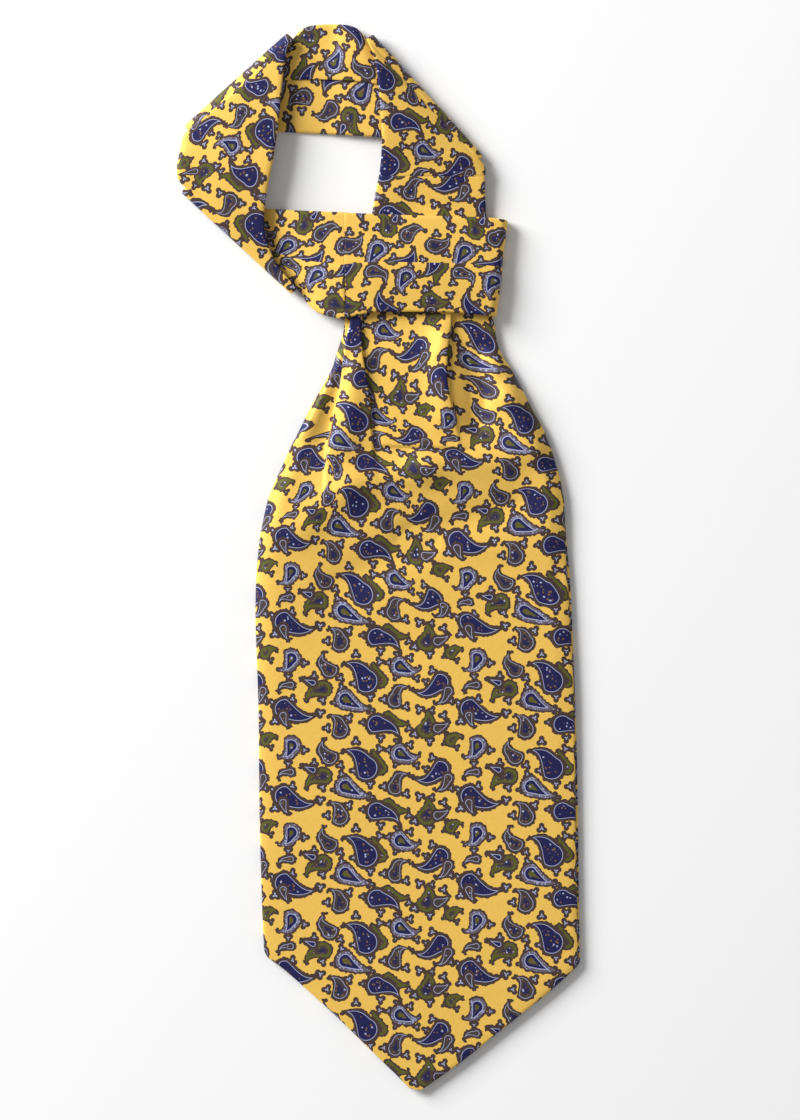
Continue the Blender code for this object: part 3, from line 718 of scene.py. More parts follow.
# %% Slides of the print
PHOTO_ORIGIN = (377.5, 558.0)       # pixel of the photograph at the origin of the plan
SLIDE_REACH = 18.0                  # pixels within which a slide is felt
SLIDE_FAINT = 8.0                   # beyond this power of its fading a slide is left out
SLIDE_REST = 0.01                   # pull of the plain repeat, which wins where no slide is near
SLIDE_OPEN = 50.0                   # a pleat turned further than this parts the print fully
Slide = namedtuple("Slide", "panel x y right down")
SLIDES = [Slide(*row) for row in (
    (0, 322, 403, 56, 11), (0, 308, 466, 25, 11), (0, 305, 493, 14, 8.5),
    (0, 284, 482, 18, 4), (0, 285, 545, 0, 3), (0, 268, 566, 1, 0),
    (0, 292, 571, 0, 0), (0, 316, 516, -7, 1), (0, 300, 640, 0, 0),
    (1, 361, 380, -15, 4), (1, 357, 421, -9, 2), (1, 339, 440, -6, 2),
    (1, 365, 461, -12, -2), (1, 356, 506, -10, -1), (1, 336, 526, -9, 0),
    (1, 368, 550, -9, 0), (1, 325, 580, -5, -2), (1, 345, 640, 0, 0),
    (2, 385, 331, -15.5, 12.6), (2, 419, 346, -21, 12), (2, 434, 321, -18, 17),
    (2, 373, 363, -22.5, 11), (2, 439, 379, -32, 18), (2, 397, 399, -29.5, 18.6),
    (2, 423, 413, -28.5, 22), (2, 447, 420, -30, 22.5), (2, 377, 417, -23, 12),
    (2, 376, 441, -20, 2.5), (2, 414, 436, -26, 15), (2, 412, 457, -15, 0),
    (2, 456, 463, -13, 9), (2, 396, 491, -5, -1), (2, 426, 509, -14, 1),
    (2, 388, 523, -7.5, -3), (2, 442, 486, -9, 7), (2, 463, 491, -14, 7),
    (2, 456, 550, -12, 8.5), (2, 426, 553, -14, 1), (2, 396, 579, -4, 0),
    (2, 400, 640, 0, 0), (2, 450, 640, 0, 0),
    (3, 474, 341, -77, 9), (3, 473, 361, -58, 10), (3, 486, 391, -40, 10),
    (3, 487, 417, -28, 9), (3, 489, 436, -20, 8), (3, 507, 439, -22, 4),
    (3, 519, 419, -33, 0), (3, 510, 474, -15, 6), (3, 501, 496, -14, 0),
    (3, 496, 517, -13, 2), (3, 536, 503, -16, -4), (3, 553, 544, -10, -6),
    (3, 514, 557, -11, 2), (3, 468, 577, -9, 6), (3, 506, 581, -9, -1),
    (3, 500, 645, 0, 0), (3, 560, 640, 0, 0),
)]


def slid(panel, x, y, openness):
    """How far the print lies to the right and down from its plain repeat, in millimetres."""
    pixel_x = PHOTO_ORIGIN[0] + x / PIXEL
    pixel_y = PHOTO_ORIGIN[1] - y / PIXEL
    right, down, total = 0.0, 0.0, SLIDE_REST
    for slide in SLIDES:
        apart = ((slide.x - pixel_x) ** 2 + (slide.y - pixel_y) ** 2) / (2 * SLIDE_REACH ** 2)
        if apart > SLIDE_FAINT:
            continue
        between = range(min(panel, slide.panel), max(panel, slide.panel))
        weight = math.exp(-apart) * math.prod(openness[pleat] for pleat in between)
        right += weight * slide.right
        down += weight * slide.down
        total += weight
    return right / total * PIXEL, down / total * PIXEL


print(len(SLIDES), "slides of the print")

# %% [markdown]
# ## Laying the face
#
# The pleats need close sections, and the plain cloth below them fewer. Each point of a section gets its
# height from the walk and the relief, and its place on the bolt from the plan and the slides.

# %% Lay the face
FACE_HEIGHT = 3.3                   # middle of the front blade's face
PLEATED_ROWS = 12
PLEATED_BETWEEN = 14
PLAIN_BETWEEN = 12
PRINT_ORIGIN = (-58.2, -38.9)       # plan of the corner of one print repeat


def face_section(row):
    """One section of the face with its place in space and in the print."""
    span = row.right_x - row.left_x
    turns = (row.turn_1, row.turn_2, row.turn_3)
    openness = [1 - min(max(turn, 0.0) / SLIDE_OPEN, 1.0) for turn in turns]
    section = []
    for step in face_steps(row):
        part = (step.x - row.left_x) / span
        y = row.left_y + (row.right_y - row.left_y) * part
        place = Vector((step.x, y, FACE_HEIGHT + step.z + relief(step.x, y, row)))
        panel = min(int(step.panel), 2)
        past = step.panel - panel
        here = slid(panel, step.x, y, openness) if past < 1 else (0.0, 0.0)
        there = slid(panel + 1, step.x, y, openness) if past > 0 else (0.0, 0.0)
        right, down = [a + (b - a) * past for a, b in zip(here, there)]
        section.append((place, step.cloth - right - PRINT_ORIGIN[0], PRINT_ORIGIN[1] - y - down))
    return section


places = [step / PLEATED_BETWEEN for step in range(PLEATED_ROWS * PLEATED_BETWEEN)]
plain_rows = len(FRONT_FACE) - 1 - PLEATED_ROWS
places += [PLEATED_ROWS + step / PLAIN_BETWEEN for step in range(plain_rows * PLAIN_BETWEEN + 1)]
front_face = cloth_sheet("front_blade_face_silk",
                         outward([face_section(blend(FRONT_FACE, place)) for place in places]))

# %% [markdown]
# ## The panels beneath
#
# The back panel of the front blade shows as a fine second edge along the right side. The second blade
# lies hidden below, so it is one plain, flat, rounded piece that rests on the table.

# %% Lay the two lower panels
SlabRow = namedtuple("SlabRow", "left_x left_y right_x right_y thick", defaults=(1.0,))
BACK_HEIGHT = 2.0       # middle of the front blade's back panel
FRONT_BACK = [SlabRow(*row) for row in (
    (-15.0, 100.0, 55.0, 100.0),
    (-26.0, 78.0, 67.4, 78.0),
    (-36.8, 57.0, 79.3, 57.0),
    (-47.4, 34.0, 87.2, 34.0),
    (-54.2, 8.0, 89.6, 8.0),
    (-56.0, -24.7, 92.0, -24.7),
    (-54.6, -100.0, 94.6, -100.0),
    (-52.2, -168.0, 95.5, -168.0),
    (-51.9, -185.2, 95.9, -191.2),
    (-50.9, -187.4, 94.9, -193.4),
    (-42.4, -195.6, 82.0, -204.4),
    (-20.9, -213.4, 58.6, -222.6),
    (15.9, -249.6, 20.3, -250.4),
)]
HIDDEN_INSET = 4.0
HIDDEN_THICK = 1.2
HIDDEN_CLOTH = 0.3
HIDDEN_NECK = [SlabRow(*row) for row in (
    (-4.0, 157.0, 43.4, 157.0, 2.0),
    (-5.0, 140.0, 43.6, 140.0, 2.0),
    (-8.4, 122.0, 44.0, 122.0, 2.0),
    (-9.8, 114.6, 44.0, 114.6, 1.8),
    (-11.6, 108.0, 47.0, 108.0, 1.5),
    (-13.4, 101.5, 51.0, 101.5, HIDDEN_THICK),
)]


def slab_sections(rows, height_of, cloth, between):
    """Sections all round a flat rounded panel, from the middle of its top and back to it."""
    sections = []
    for step in range((len(rows) - 1) * between + 1):
        row = blend(rows, step / between)
        middle = height_of(row)
        radius = (row.thick - cloth) / 2
        width = row.right_x - row.left_x
        half = width / 2 - radius
        arcs = [[(side * (half + radius * math.sin(math.pi * turn / 6)),
                  -side * radius * math.cos(math.pi * turn / 6)) for turn in range(1, 6)]
                for side in (-1, 1)]
        outline = [(-half * part / 10, radius) for part in range(11)] + arcs[0]
        outline += [(-half + half * part / 10, -radius) for part in range(21)] + arcs[1]
        outline += [(half - half * part / 10, radius) for part in range(11)]
        section = []
        cloth_run = 0.0
        before = outline[0]
        for x, z in outline:
            cloth_run += math.hypot(x - before[0], z - before[1])
            before = (x, z)
            part = (x + width / 2) / width
            place = Vector((row.left_x + width * part, row.left_y + (row.right_y - row.left_y) * part,
                            middle + z))
            section.append((place, cloth_run, -place.y))
        sections.append(section)
    return sections


front_back = cloth_sheet("front_blade_back_silk",
                         outward(slab_sections(FRONT_BACK, lambda row: BACK_HEIGHT, HIDDEN_CLOTH, 8)),
                         HIDDEN_CLOTH)
inside = [SlabRow(row.left_x + HIDDEN_INSET, row.left_y, row.right_x - HIDDEN_INSET, row.right_y,
                  HIDDEN_THICK) for row in FRONT_BACK[1:-1]]
tip = FRONT_BACK[-1]
tip_y = tip.left_y + 2 * HIDDEN_INSET
inside.append(SlabRow(tip.left_x, tip_y, tip.right_x, tip_y, HIDDEN_THICK))
second_blade = cloth_sheet("second_blade_silk",
                           outward(slab_sections(HIDDEN_NECK + inside, lambda row: row.thick / 2,
                                                 HIDDEN_CLOTH, 8)), HIDDEN_CLOTH)

# %% [markdown]
# ## The print
#
# The silk is printed with paisley: drop shapes with a curled tip, called botehs, in navy, light blue,
# grey and olive, with dark scalloped outlines and small three-lobed buds. Twenty of them make one
# repeat, 88 mm across the bolt and 41 mm along it. A boteh is charted by its bulb, its tip, the width
# of the bulb and the bow of its spine, and a bud by its middle, size and turn. One chart unit is
# 0.606 mm.

# %% Chart of the repeat
CHART_UNIT = 0.606
REPEAT = (145.4, 68.2)
Boteh = namedtuple("Boteh", "bulb_x bulb_y tip_x tip_y width bow")


def botehs(*rows):
    """A family of botehs that share their colours."""
    return [Boteh(*row) for row in rows]


NAVY = botehs(
    (87.0, 32.0, 69.5, 18.5, 9.6, 0.22),
    (145.0, 33.0, 124.0, 39.5, 7.6, -0.24),
    (23.5, 54.0, 48.0, 58.5, 8.6, 0.17),
    (95.5, 66.0, 113.5, 76.5, 8.0, -0.19),
    (45.5, 33.5, 36.5, 30.0, 4.0, 0.0),
)
BEADED = botehs(
    (28.5, 14.5, 19.0, 23.5, 7.2, -0.28),
    (114.0, 20.5, 129.0, 22.5, 7.4, 0.22),
    (71.0, 46.5, 89.5, 54.0, 7.6, 0.08),
)
GREY = botehs(
    (58.5, 23.0, 54.0, 10.0, 6.6, -0.31),
    (110.0, 47.0, 120.5, 37.2, 6.3, -0.36),
    (28.0, 35.2, 18.5, 39.5, 3.9, 0.23),
    (66.5, 70.0, 58.8, 59.2, 7.0, 0.26),
    (151.2, 40.0, 141.8, 49.5, 4.6, -0.22),
)
OLIVE = botehs(
    (8.5, 10.0, 16.5, 7.2, 4.9, -0.2),
    (53.5, 38.5, 40.0, 47.0, 6.4, 0.18),
    (134.5, 69.0, 135.0, 56.0, 7.4, 0.13),
    (98.5, 32.0, 92.5, 18.5, 5.2, 0.0),
    (104.5, 61.0, 119.5, 65.5, 5.0, 0.1),
)
SMALL_GREY = botehs(
    (22.2, 59.2, 26.2, 68.0, 4.2, 0.1),
    (143.2, 69.0, 152.0, 64.0, 4.6, 0.1),
)
Bud = namedtuple("Bud", "x y size turn")
BUDS = [Bud(*row) for row in (
    (39.0, 18.0, 2.4, 0.0), (26.2, 28.6, 2.3, 1.6), (67.0, 29.8, 2.4, 0.8),
    (79.2, 11.2, 2.5, 4.7), (90.5, 44.5, 2.5, 1.6), (78.0, 34.0, 2.6, 3.1),
    (97.8, 17.0, 2.5, 0.0), (121.5, 13.8, 2.4, 5.3), (104.8, 17.8, 2.3, 3.1),
    (110.5, 28.6, 2.3, 2.0), (126.8, 30.0, 2.2, 1.2), (101.0, 46.5, 2.5, 3.1),
    (118.4, 52.2, 2.5, 0.9), (139.0, 24.0, 2.5, 4.4), (133.8, 32.4, 2.1, 3.6),
    (153.4, 47.8, 2.3, 0.9), (46.5, 28.0, 2.3, 4.7), (53.0, 47.0, 2.5, 1.2),
    (68.2, 37.4, 2.6, 4.4), (90.5, 54.6, 2.5, 0.2), (62.4, 49.0, 2.2, 3.1),
    (14.6, 49.4, 2.7, 3.8), (29.4, 46.2, 2.5, 4.9), (51.4, 57.0, 2.6, 5.9),
    (15.8, 63.4, 2.7, 2.6), (73.6, 61.0, 2.6, 5.4), (56.6, 69.0, 2.5, 3.1),
    (84.5, 64.4, 2.1, 3.1), (98.5, 76.8, 2.4, 1.6), (111.8, 79.6, 2.3, 1.6),
    (120.6, 69.2, 2.3, 0.4), (129.0, 54.2, 2.6, 4.0), (138.6, 55.0, 2.2, 5.2),
    (125.2, 73.6, 2.6, 2.9), (137.0, 79.0, 2.5, 1.6), (147.8, 59.0, 2.5, 5.2),
    (4.0, 4.8, 1.6, 3.8), (3.2, 12.6, 1.8, 2.6), (12.6, 15.8, 1.9, 1.4),
)]
print(sum(map(len, (NAVY, BEADED, GREY, OLIVE, SMALL_GREY))), "botehs and", len(BUDS), "buds")

# %% [markdown]
# ## Shader helpers
#
# Node trees are easier to read as formulas, so two small helpers add a math node and link what goes
# into it. A value is either a number or the socket of another node.

# %% Node helpers
def feed(tree, socket, value):
    """Sets a socket to a number, or links it to another node's output."""
    if isinstance(value, bpy.types.NodeSocket):
        tree.links.new(value, socket)
    else:
        socket.default_value = value


def math_node(tree, operation, *values, clamp=False):
    node = tree.nodes.new("ShaderNodeMath")
    node.operation = operation
    node.use_clamp = clamp
    for socket, value in zip(node.inputs, values):
        feed(tree, socket, value)
    return node.outputs[0]


def vector_node(tree, operation, *values, output=0):
    node = tree.nodes.new("ShaderNodeVectorMath")
    node.operation = operation
    for socket, value in zip(node.inputs, values):
        feed(tree, socket, value)
    return node.outputs[output]


def mix_colour(tree, factor, under, over):
    node = tree.nodes.new("ShaderNodeMix")
    node.data_type = "RGBA"
    feed(tree, node.inputs["Factor"], factor)
    feed(tree, node.inputs["A"], under)
    feed(tree, node.inputs["B"], over)
    return node.outputs["Result"]


def new_group(name, inputs):
    """An empty node group with the given inputs and one output, Distance."""
    group = bpy.data.node_groups.new(name, "ShaderNodeTree")
    for label, kind in inputs:
        group.interface.new_socket(label, in_out="INPUT", socket_type=kind)
    group.interface.new_socket("Distance", in_out="OUTPUT", socket_type="NodeSocketFloat")
    return group, group.nodes.new("NodeGroupInput").outputs, group.nodes.new("NodeGroupOutput")

# %% [markdown]
# ## The shapes of a boteh and a bud
#
# A group of nodes measures how far a point of the silk lies from one motif, and one group serves all
# motifs of its kind. A boteh is the space round a bowed spine, wide at the bulb and narrow at the tip,
# with a small curl beside its end. A bud is a disc whose radius swells three times on its way round.
# The point is first wrapped into the repeat, so the print goes on over the whole bolt.

# %% Distances to the motifs
TIP_WIDTH = 2.0
HOOK_SIZE = 1.5
TAPER = 1.0             # above 1, a boteh gets narrow sooner behind its bulb
SPINE_CURVE = 1.5       # above 1, the spine bends most near its tip
LOBE_BASE = 0.8
LOBE_REACH = 0.85


def repeat_offset(tree, point, middle):
    """From the nearest copy of a motif's middle to the point."""
    wrap = tree.nodes.new("ShaderNodeVectorMath")
    wrap.operation = "WRAP"
    feed(tree, wrap.inputs[0], vector_node(tree, "SUBTRACT", point, middle))
    wrap.inputs[1].default_value = (REPEAT[0] / 2, REPEAT[1] / 2, 1)
    wrap.inputs[2].default_value = (-REPEAT[0] / 2, -REPEAT[1] / 2, -1)
    return wrap.outputs[0]


def make_boteh_group():
    """How far a point is outside a boteh, in chart units, and below 0 inside it."""
    tree, given, result = new_group("boteh", [
        ("Print", "NodeSocketVector"), ("Bulb", "NodeSocketVector"), ("Turn", "NodeSocketFloat"),
        ("Length", "NodeSocketFloat"), ("Width", "NodeSocketFloat"), ("Bow", "NodeSocketFloat"),
        ("Hook", "NodeSocketFloat")])
    rotate = tree.nodes.new("ShaderNodeVectorRotate")
    rotate.rotation_type = "Z_AXIS"
    feed(tree, rotate.inputs["Vector"], repeat_offset(tree, given["Print"], given["Bulb"]))
    feed(tree, rotate.inputs["Angle"], given["Turn"])
    local = tree.nodes.new("ShaderNodeSeparateXYZ")
    feed(tree, local.inputs[0], rotate.outputs[0])
    along = math_node(tree, "DIVIDE", local.outputs[0], given["Length"], clamp=True)
    left = math_node(tree, "SUBTRACT", 1.0, along)
    spine_x = math_node(tree, "SUBTRACT", local.outputs[0],
                        math_node(tree, "MULTIPLY", along, given["Length"]))
    hook = math_node(tree, "POWER", along, SPINE_CURVE)
    bend = math_node(tree, "MULTIPLY", math_node(tree, "MULTIPLY", hook, left), given["Bow"])
    spine_y = math_node(tree, "SUBTRACT", local.outputs[1], bend)
    joined = tree.nodes.new("ShaderNodeCombineXYZ")
    feed(tree, joined.inputs[0], spine_x)
    feed(tree, joined.inputs[1], spine_y)
    away = vector_node(tree, "LENGTH", joined.outputs[0], output=1)
    width = math_node(tree, "MULTIPLY_ADD", math_node(tree, "POWER", left, TAPER), given["Width"],
                      TIP_WIDTH)
    hook_end = tree.nodes.new("ShaderNodeCombineXYZ")
    feed(tree, hook_end.inputs[0], given["Length"])
    feed(tree, hook_end.inputs[1], given["Hook"])
    from_hook = vector_node(tree, "DISTANCE", rotate.outputs[0], hook_end.outputs[0], output=1)
    curl = math_node(tree, "SUBTRACT", from_hook, HOOK_SIZE)
    body = math_node(tree, "SUBTRACT", away, width)
    feed(tree, result.inputs[0], math_node(tree, "MINIMUM", body, curl))
    return tree


def make_bud_group():
    """How far a point is outside a bud of three lobes, in chart units."""
    tree, given, result = new_group("bud", [
        ("Print", "NodeSocketVector"), ("Middle", "NodeSocketVector"), ("Turn", "NodeSocketFloat"),
        ("Size", "NodeSocketFloat")])
    offset = repeat_offset(tree, given["Print"], given["Middle"])
    local = tree.nodes.new("ShaderNodeSeparateXYZ")
    feed(tree, local.inputs[0], offset)
    angle = math_node(tree, "ARCTAN2", local.outputs[1], local.outputs[0])
    lobes = math_node(tree, "ABSOLUTE", math_node(
        tree, "COSINE", math_node(tree, "MULTIPLY_ADD", angle, 1.5, given["Turn"])))
    reach = math_node(tree, "MULTIPLY", given["Size"],
                      math_node(tree, "MULTIPLY_ADD", lobes, LOBE_REACH, LOBE_BASE))
    away = vector_node(tree, "LENGTH", offset, output=1)
    feed(tree, result.inputs[0], math_node(tree, "SUBTRACT", away, reach))
    return tree


boteh_group = make_boteh_group()
bud_group = make_bud_group()
print("one boteh takes", len(boteh_group.nodes), "nodes, one bud", len(bud_group.nodes))

# %% [markdown]
# ## The colours of the print
#
# A printer lays one colour after another, each through its own screen. Here a ramp of hard bands turns
# the depth inside a motif into its colours: outline, light line and filling. Each pair gives the depth
# in chart units at which a colour starts.

# %% Colours and bands
def silk_colour(red, green, blue):
    """A colour as read on a screen, from 0 to 255, turned into light."""
    values = [channel / 255 for channel in (red, green, blue)]
    return (*[value / 12.92 if value < 0.04 else ((value + 0.055) / 1.055) ** 2.4
              for value in values], 1.0)


RAMP_DEPTH = 8.0
GROUND = silk_colour(239, 194, 90)
OUTLINE = silk_colour(72, 56, 52)
LIGHT_LINE = silk_colour(172, 178, 214)
NAVY_FILL = silk_colour(31, 31, 80)
OLIVE_FILL = silk_colour(92, 92, 38)
GREY_FILL = silk_colour(70, 60, 58)
DARK_CORE = silk_colour(40, 38, 78)
BEAD_GROUND = silk_colour(104, 94, 108)
BROWN_SPECK = silk_colour(124, 94, 66)
NAVY_BANDS = [(0, OUTLINE), (2.7, LIGHT_LINE), (3.2, NAVY_FILL)]
GREY_BANDS = [(0, OUTLINE), (2.2, LIGHT_LINE), (2.65, GREY_FILL), (5.4, DARK_CORE)]
BEADED_BANDS = [(0, OUTLINE), (1.5, BEAD_GROUND), (3.6, LIGHT_LINE), (4.3, NAVY_FILL), (6.8, OLIVE_FILL)]
OLIVE_BANDS = [(0, OUTLINE), (1.5, OLIVE_FILL), (3.8, GREY_FILL), (5.8, DARK_CORE)]
BUD_BANDS = [(0, OUTLINE), (2.9, LIGHT_LINE)]


def colour_bands(tree, depth, bands):
    """A ramp of hard bands: each colour starts at its depth, in chart units."""
    ramp = tree.nodes.new("ShaderNodeValToRGB")
    ramp.color_ramp.interpolation = "CONSTANT"
    feed(tree, ramp.inputs[0], math_node(tree, "DIVIDE", depth, RAMP_DEPTH))
    stops = ramp.color_ramp.elements
    while len(stops) < len(bands):
        stops.new(0.5)
    for stop, (start, colour) in zip(stops, bands):
        stop.position = start / RAMP_DEPTH
        stop.color = colour
    return ramp.outputs[0]

# %% [markdown]
# ## The layers of the print
#
# From the ground up the print has the gold, the buds, the olive botehs, then the navy, beaded and grey
# ones, and the small grey ones on top. Small scattered cells stand in for the drawn ornament: they
# scallop the outlines, bead the rims of the light botehs and speck all fillings.

# %% Layers of the print
PLUMP = 1.2             # a boteh's bulb against its charted width
BOW = 5                 # the bend of its spine against its charted bow
HOOK_SIDE = 1.8         # how far the curl stands beside the tip
BUD_SIZE = 1.12         # a bud against its charted size
SCALLOP_SCALE, SCALLOP_DEPTH, SCALLOP_OUT = 0.42, -1.7, 0.95
BEAD_SCALE, BEAD_SIZE = 0.66, 0.36
BEAD_DEPTH, BEAD_BAND = 2.55, 0.9
SPECK_SCALE, SPECK_SIZE = 0.38, 0.3
BROWN_SHARE = 0.72
LAYERS = [(OLIVE, OLIVE_BANDS, 3.9), (NAVY, NAVY_BANDS, 5.0), (BEADED, BEADED_BANDS, 6.2),
          (GREY, GREY_BANDS, 3.6), (SMALL_GREY, GREY_BANDS, 3.6)]    # the last value: depth of the specks


def nearer(tree, so_far, distance):
    """The smaller of two distances, or the second one where there is none yet."""
    return distance if so_far is None else math_node(tree, "MINIMUM", so_far, distance)


def group_distance(tree, group, point, values):
    node = tree.nodes.new("ShaderNodeGroup")
    node.node_tree = group
    feed(tree, node.inputs["Print"], point)
    for label, value in values.items():
        node.inputs[label].default_value = value
    return node.outputs[0]


def boteh_distance(tree, point, family):
    """Distance to the nearest boteh of a family."""
    result = None
    for motif in family:
        span_x, span_y = motif.tip_x - motif.bulb_x, motif.tip_y - motif.bulb_y
        length = math.hypot(span_x, span_y)
        result = nearer(tree, result, group_distance(tree, boteh_group, point, {
            "Bulb": (motif.bulb_x, motif.bulb_y, 0), "Turn": -math.atan2(span_y, span_x),
            "Length": length, "Width": PLUMP * motif.width - TIP_WIDTH,
            "Bow": BOW * motif.bow * length, "Hook": -math.copysign(HOOK_SIDE, motif.bow)}))
    return result


def dots(tree, point, scale, size):
    """1 inside small dots scattered at a scale, else 0, and a random value for each dot."""
    cells = tree.nodes.new("ShaderNodeTexVoronoi")
    cells.inputs["Scale"].default_value = scale
    feed(tree, cells.inputs["Vector"], point)
    kind = tree.nodes.new("ShaderNodeSeparateColor")
    feed(tree, kind.inputs[0], cells.outputs["Color"])
    return math_node(tree, "LESS_THAN", cells.outputs["Distance"], size), kind.outputs[0]


def print_colour(tree, point):
    """The colour of the printed silk at a point of the chart."""
    lobes = tree.nodes.new("ShaderNodeTexVoronoi")
    lobes.inputs["Scale"].default_value = SCALLOP_SCALE
    feed(tree, lobes.inputs["Vector"], point)
    scallop = math_node(tree, "MULTIPLY_ADD", lobes.outputs["Distance"], SCALLOP_DEPTH, SCALLOP_OUT)
    beads, _ = dots(tree, point, BEAD_SCALE, BEAD_SIZE)
    specks, kind = dots(tree, point, SPECK_SCALE, SPECK_SIZE)
    speck = mix_colour(tree, math_node(tree, "GREATER_THAN", kind, BROWN_SHARE), BROWN_SPECK, LIGHT_LINE)
    buds = None
    for bud in BUDS:
        buds = nearer(tree, buds, group_distance(tree, bud_group, point, {
            "Middle": (bud.x, bud.y, 0), "Turn": -1.5 * bud.turn, "Size": BUD_SIZE * bud.size}))
    bud_depth = math_node(tree, "MULTIPLY", buds, -1.0)
    colour = mix_colour(tree, math_node(tree, "GREATER_THAN", bud_depth, 0.0), GROUND,
                        colour_bands(tree, bud_depth, BUD_BANDS))
    for family, bands, speck_depth in LAYERS:
        depth = math_node(tree, "MULTIPLY", boteh_distance(tree, point, family), -1.0)
        edge = math_node(tree, "ADD", depth, scallop)
        filled = colour_bands(tree, depth, bands)
        inner = math_node(tree, "MULTIPLY", specks, math_node(tree, "GREATER_THAN", depth, speck_depth))
        filled = mix_colour(tree, inner, filled, speck)
        if family is BEADED:
            band = math_node(tree, "COMPARE", depth, BEAD_DEPTH, BEAD_BAND)
            filled = mix_colour(tree, math_node(tree, "MULTIPLY", band, beads), filled, LIGHT_LINE)
        colour = mix_colour(tree, math_node(tree, "GREATER_THAN", edge, 0.0), colour, filled)
    return colour

# %% [markdown]
# ## The silk
#
# One material serves every piece, because the cravat is cut from one bolt. The print gives its colour,
# and a fine mottling of tone stands in for the threads. The diagonal rib of the twill is a faint bump,
# drawn wider than on real silk so that a picture can hold it. Silk shines softly: it is rather rough,
# with a trace of metal in its highlights and a little sheen at grazing angles.

# %% The silk material
RIB_PITCH = 3.732       # millimetres between two ribs
RIB_RELIEF = 0.00005    # metres
DIAGONAL_PITCH = math.tau / (10 * math.sqrt(2))     # of the wave texture's bands at scale 1
MOTTLE_SCALE, MOTTLE = 60.0, 0.16
SILK = {"Roughness": 0.54, "Metallic": 0.2, "Specular IOR Level": 0.25, "Sheen Weight": 0.06,
        "Sheen Roughness": 0.4}


def make_silk():
    """Printed silk twill: the print for its colour, a faint diagonal rib and a soft sheen."""
    material = bpy.data.materials.new("printed silk twill")
    material.use_nodes = True
    tree = material.node_tree
    shader = tree.nodes["Principled BSDF"]
    cloth = tree.nodes.new("ShaderNodeUVMap")
    chart = vector_node(tree, "SCALE", cloth.outputs[0])
    chart.node.inputs["Scale"].default_value = UV_UNIT / CHART_UNIT
    colour = print_colour(tree, chart)
    uneven = tree.nodes.new("ShaderNodeTexNoise")
    uneven.inputs["Scale"].default_value = MOTTLE_SCALE
    uneven.inputs["Detail"].default_value = 3.0
    feed(tree, uneven.inputs["Vector"], cloth.outputs[0])
    tone = math_node(tree, "MULTIPLY_ADD", uneven.outputs[0], MOTTLE, 1 - MOTTLE / 2)
    shade = tree.nodes.new("ShaderNodeMix")
    shade.data_type = "RGBA"
    shade.blend_type = "MULTIPLY"
    shade.inputs["Factor"].default_value = 1.0
    feed(tree, shade.inputs["A"], colour)
    feed(tree, shade.inputs["B"], tone)
    feed(tree, shader.inputs["Base Color"], shade.outputs["Result"])
    rib = tree.nodes.new("ShaderNodeTexWave")
    rib.wave_type = "BANDS"
    rib.bands_direction = "DIAGONAL"
    rib.inputs["Scale"].default_value = UV_UNIT * DIAGONAL_PITCH / RIB_PITCH
    rib.inputs["Distortion"].default_value = 0.6
    feed(tree, rib.inputs["Vector"], cloth.outputs[0])
    bump = tree.nodes.new("ShaderNodeBump")
    bump.inputs["Strength"].default_value = 0.12
    bump.inputs["Distance"].default_value = RIB_RELIEF
    feed(tree, bump.inputs["Height"], rib.outputs["Fac"])
    feed(tree, shader.inputs["Normal"], bump.outputs[0])
    for label, value in SILK.items():
        shader.inputs[label].default_value = value
    return material


silk = make_silk()
print("silk has", len(silk.node_tree.nodes), "nodes")
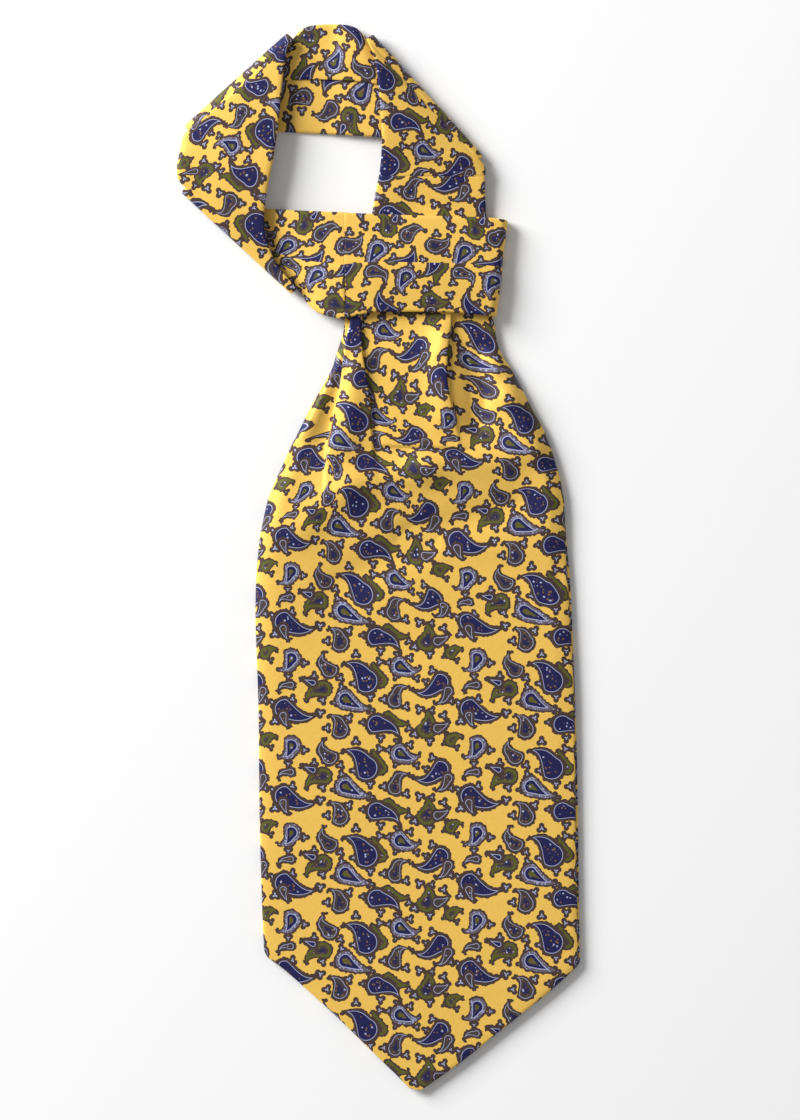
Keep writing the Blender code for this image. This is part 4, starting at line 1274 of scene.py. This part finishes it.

# %% [markdown]
#
# Every sheet rides on the one body, replaces its plain solid, takes the silk's slot and states the size
# that it was cut to. A tube's cut is all round it: both sides and the lap.

# %% Dress the sheets
TUBE_CUT = 2 * BAND_WIDTH + UNDER_LAP
CUTS = [
    (neckband_right, TUBE_CUT, 40, ["neckband_top"]),
    (neckband_top, TUBE_CUT, 88, []),
    (neckband_left, TUBE_CUT, 86, ["neckband_top"]),
    (neckband_crossing, TUBE_CUT, 48, []),
    (second_neck, TUBE_CUT, 96, ["front_blade_face"]),
    (front_neck, TUBE_CUT, 62, ["second_blade"]),
    (front_face, 153, 330, ["front_blade_back"]),
    (front_back, 290, 300, ["second_blade"]),
    (second_blade, 270, 350, []),
]
for piece, width, length, rests_on in CUTS:
    piece.data.materials.clear()
    piece.data.materials.append(silk)
    node = piece.name.removesuffix("_silk")
    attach(piece, "root")
    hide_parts(node)
    print(node, "is cut", width, "by", length, "mm")

# %% [markdown]
# ## Table and light
#
# A plain pale table and a soft light from the upper left, with a bright room for fill, give the soft
# shadow to the lower right.

# %% Table, light and room
TABLE_DROP = -0.0002                # metres, just clear of the lowest cloth
LAMP_PLACE = (-2.9, 1.9, 1.75)
LAMP_SIZE = 2.0
LAMP_POWER = 264
ROOM_LIGHT = 0.34

bpy.ops.object.select_all(action="DESELECT")
bpy.ops.mesh.primitive_plane_add(size=6, location=(0, 0, TABLE_DROP))
table = bpy.context.object
table.name = "table"
paper = bpy.data.materials.new("pale table")
paper.use_nodes = True
paper_inputs = paper.node_tree.nodes["Principled BSDF"].inputs
paper_inputs["Base Color"].default_value = (0.9, 0.9, 0.9, 1)
paper_inputs["Roughness"].default_value = 0.8
table.data.materials.append(paper)

lamp_data = bpy.data.lights.new("window", "AREA")
lamp_data.size = LAMP_SIZE
lamp_data.energy = LAMP_POWER
lamp = bpy.data.objects.new("window", lamp_data)
lamp.location = LAMP_PLACE
lamp.rotation_euler = (-lamp.location).to_track_quat("-Z", "Y").to_euler()
bpy.context.scene.collection.objects.link(lamp)

room = bpy.data.worlds.new("room")
room.use_nodes = True
room.node_tree.nodes["Background"].inputs["Color"].default_value = (1.0, 1.0, 1.0, 1)
room.node_tree.nodes["Background"].inputs["Strength"].default_value = ROOM_LIGHT
bpy.context.scene.world = room
bpy.context.scene.view_settings.view_transform = "Standard"
print("lit by", lamp.name, "and", room.name)
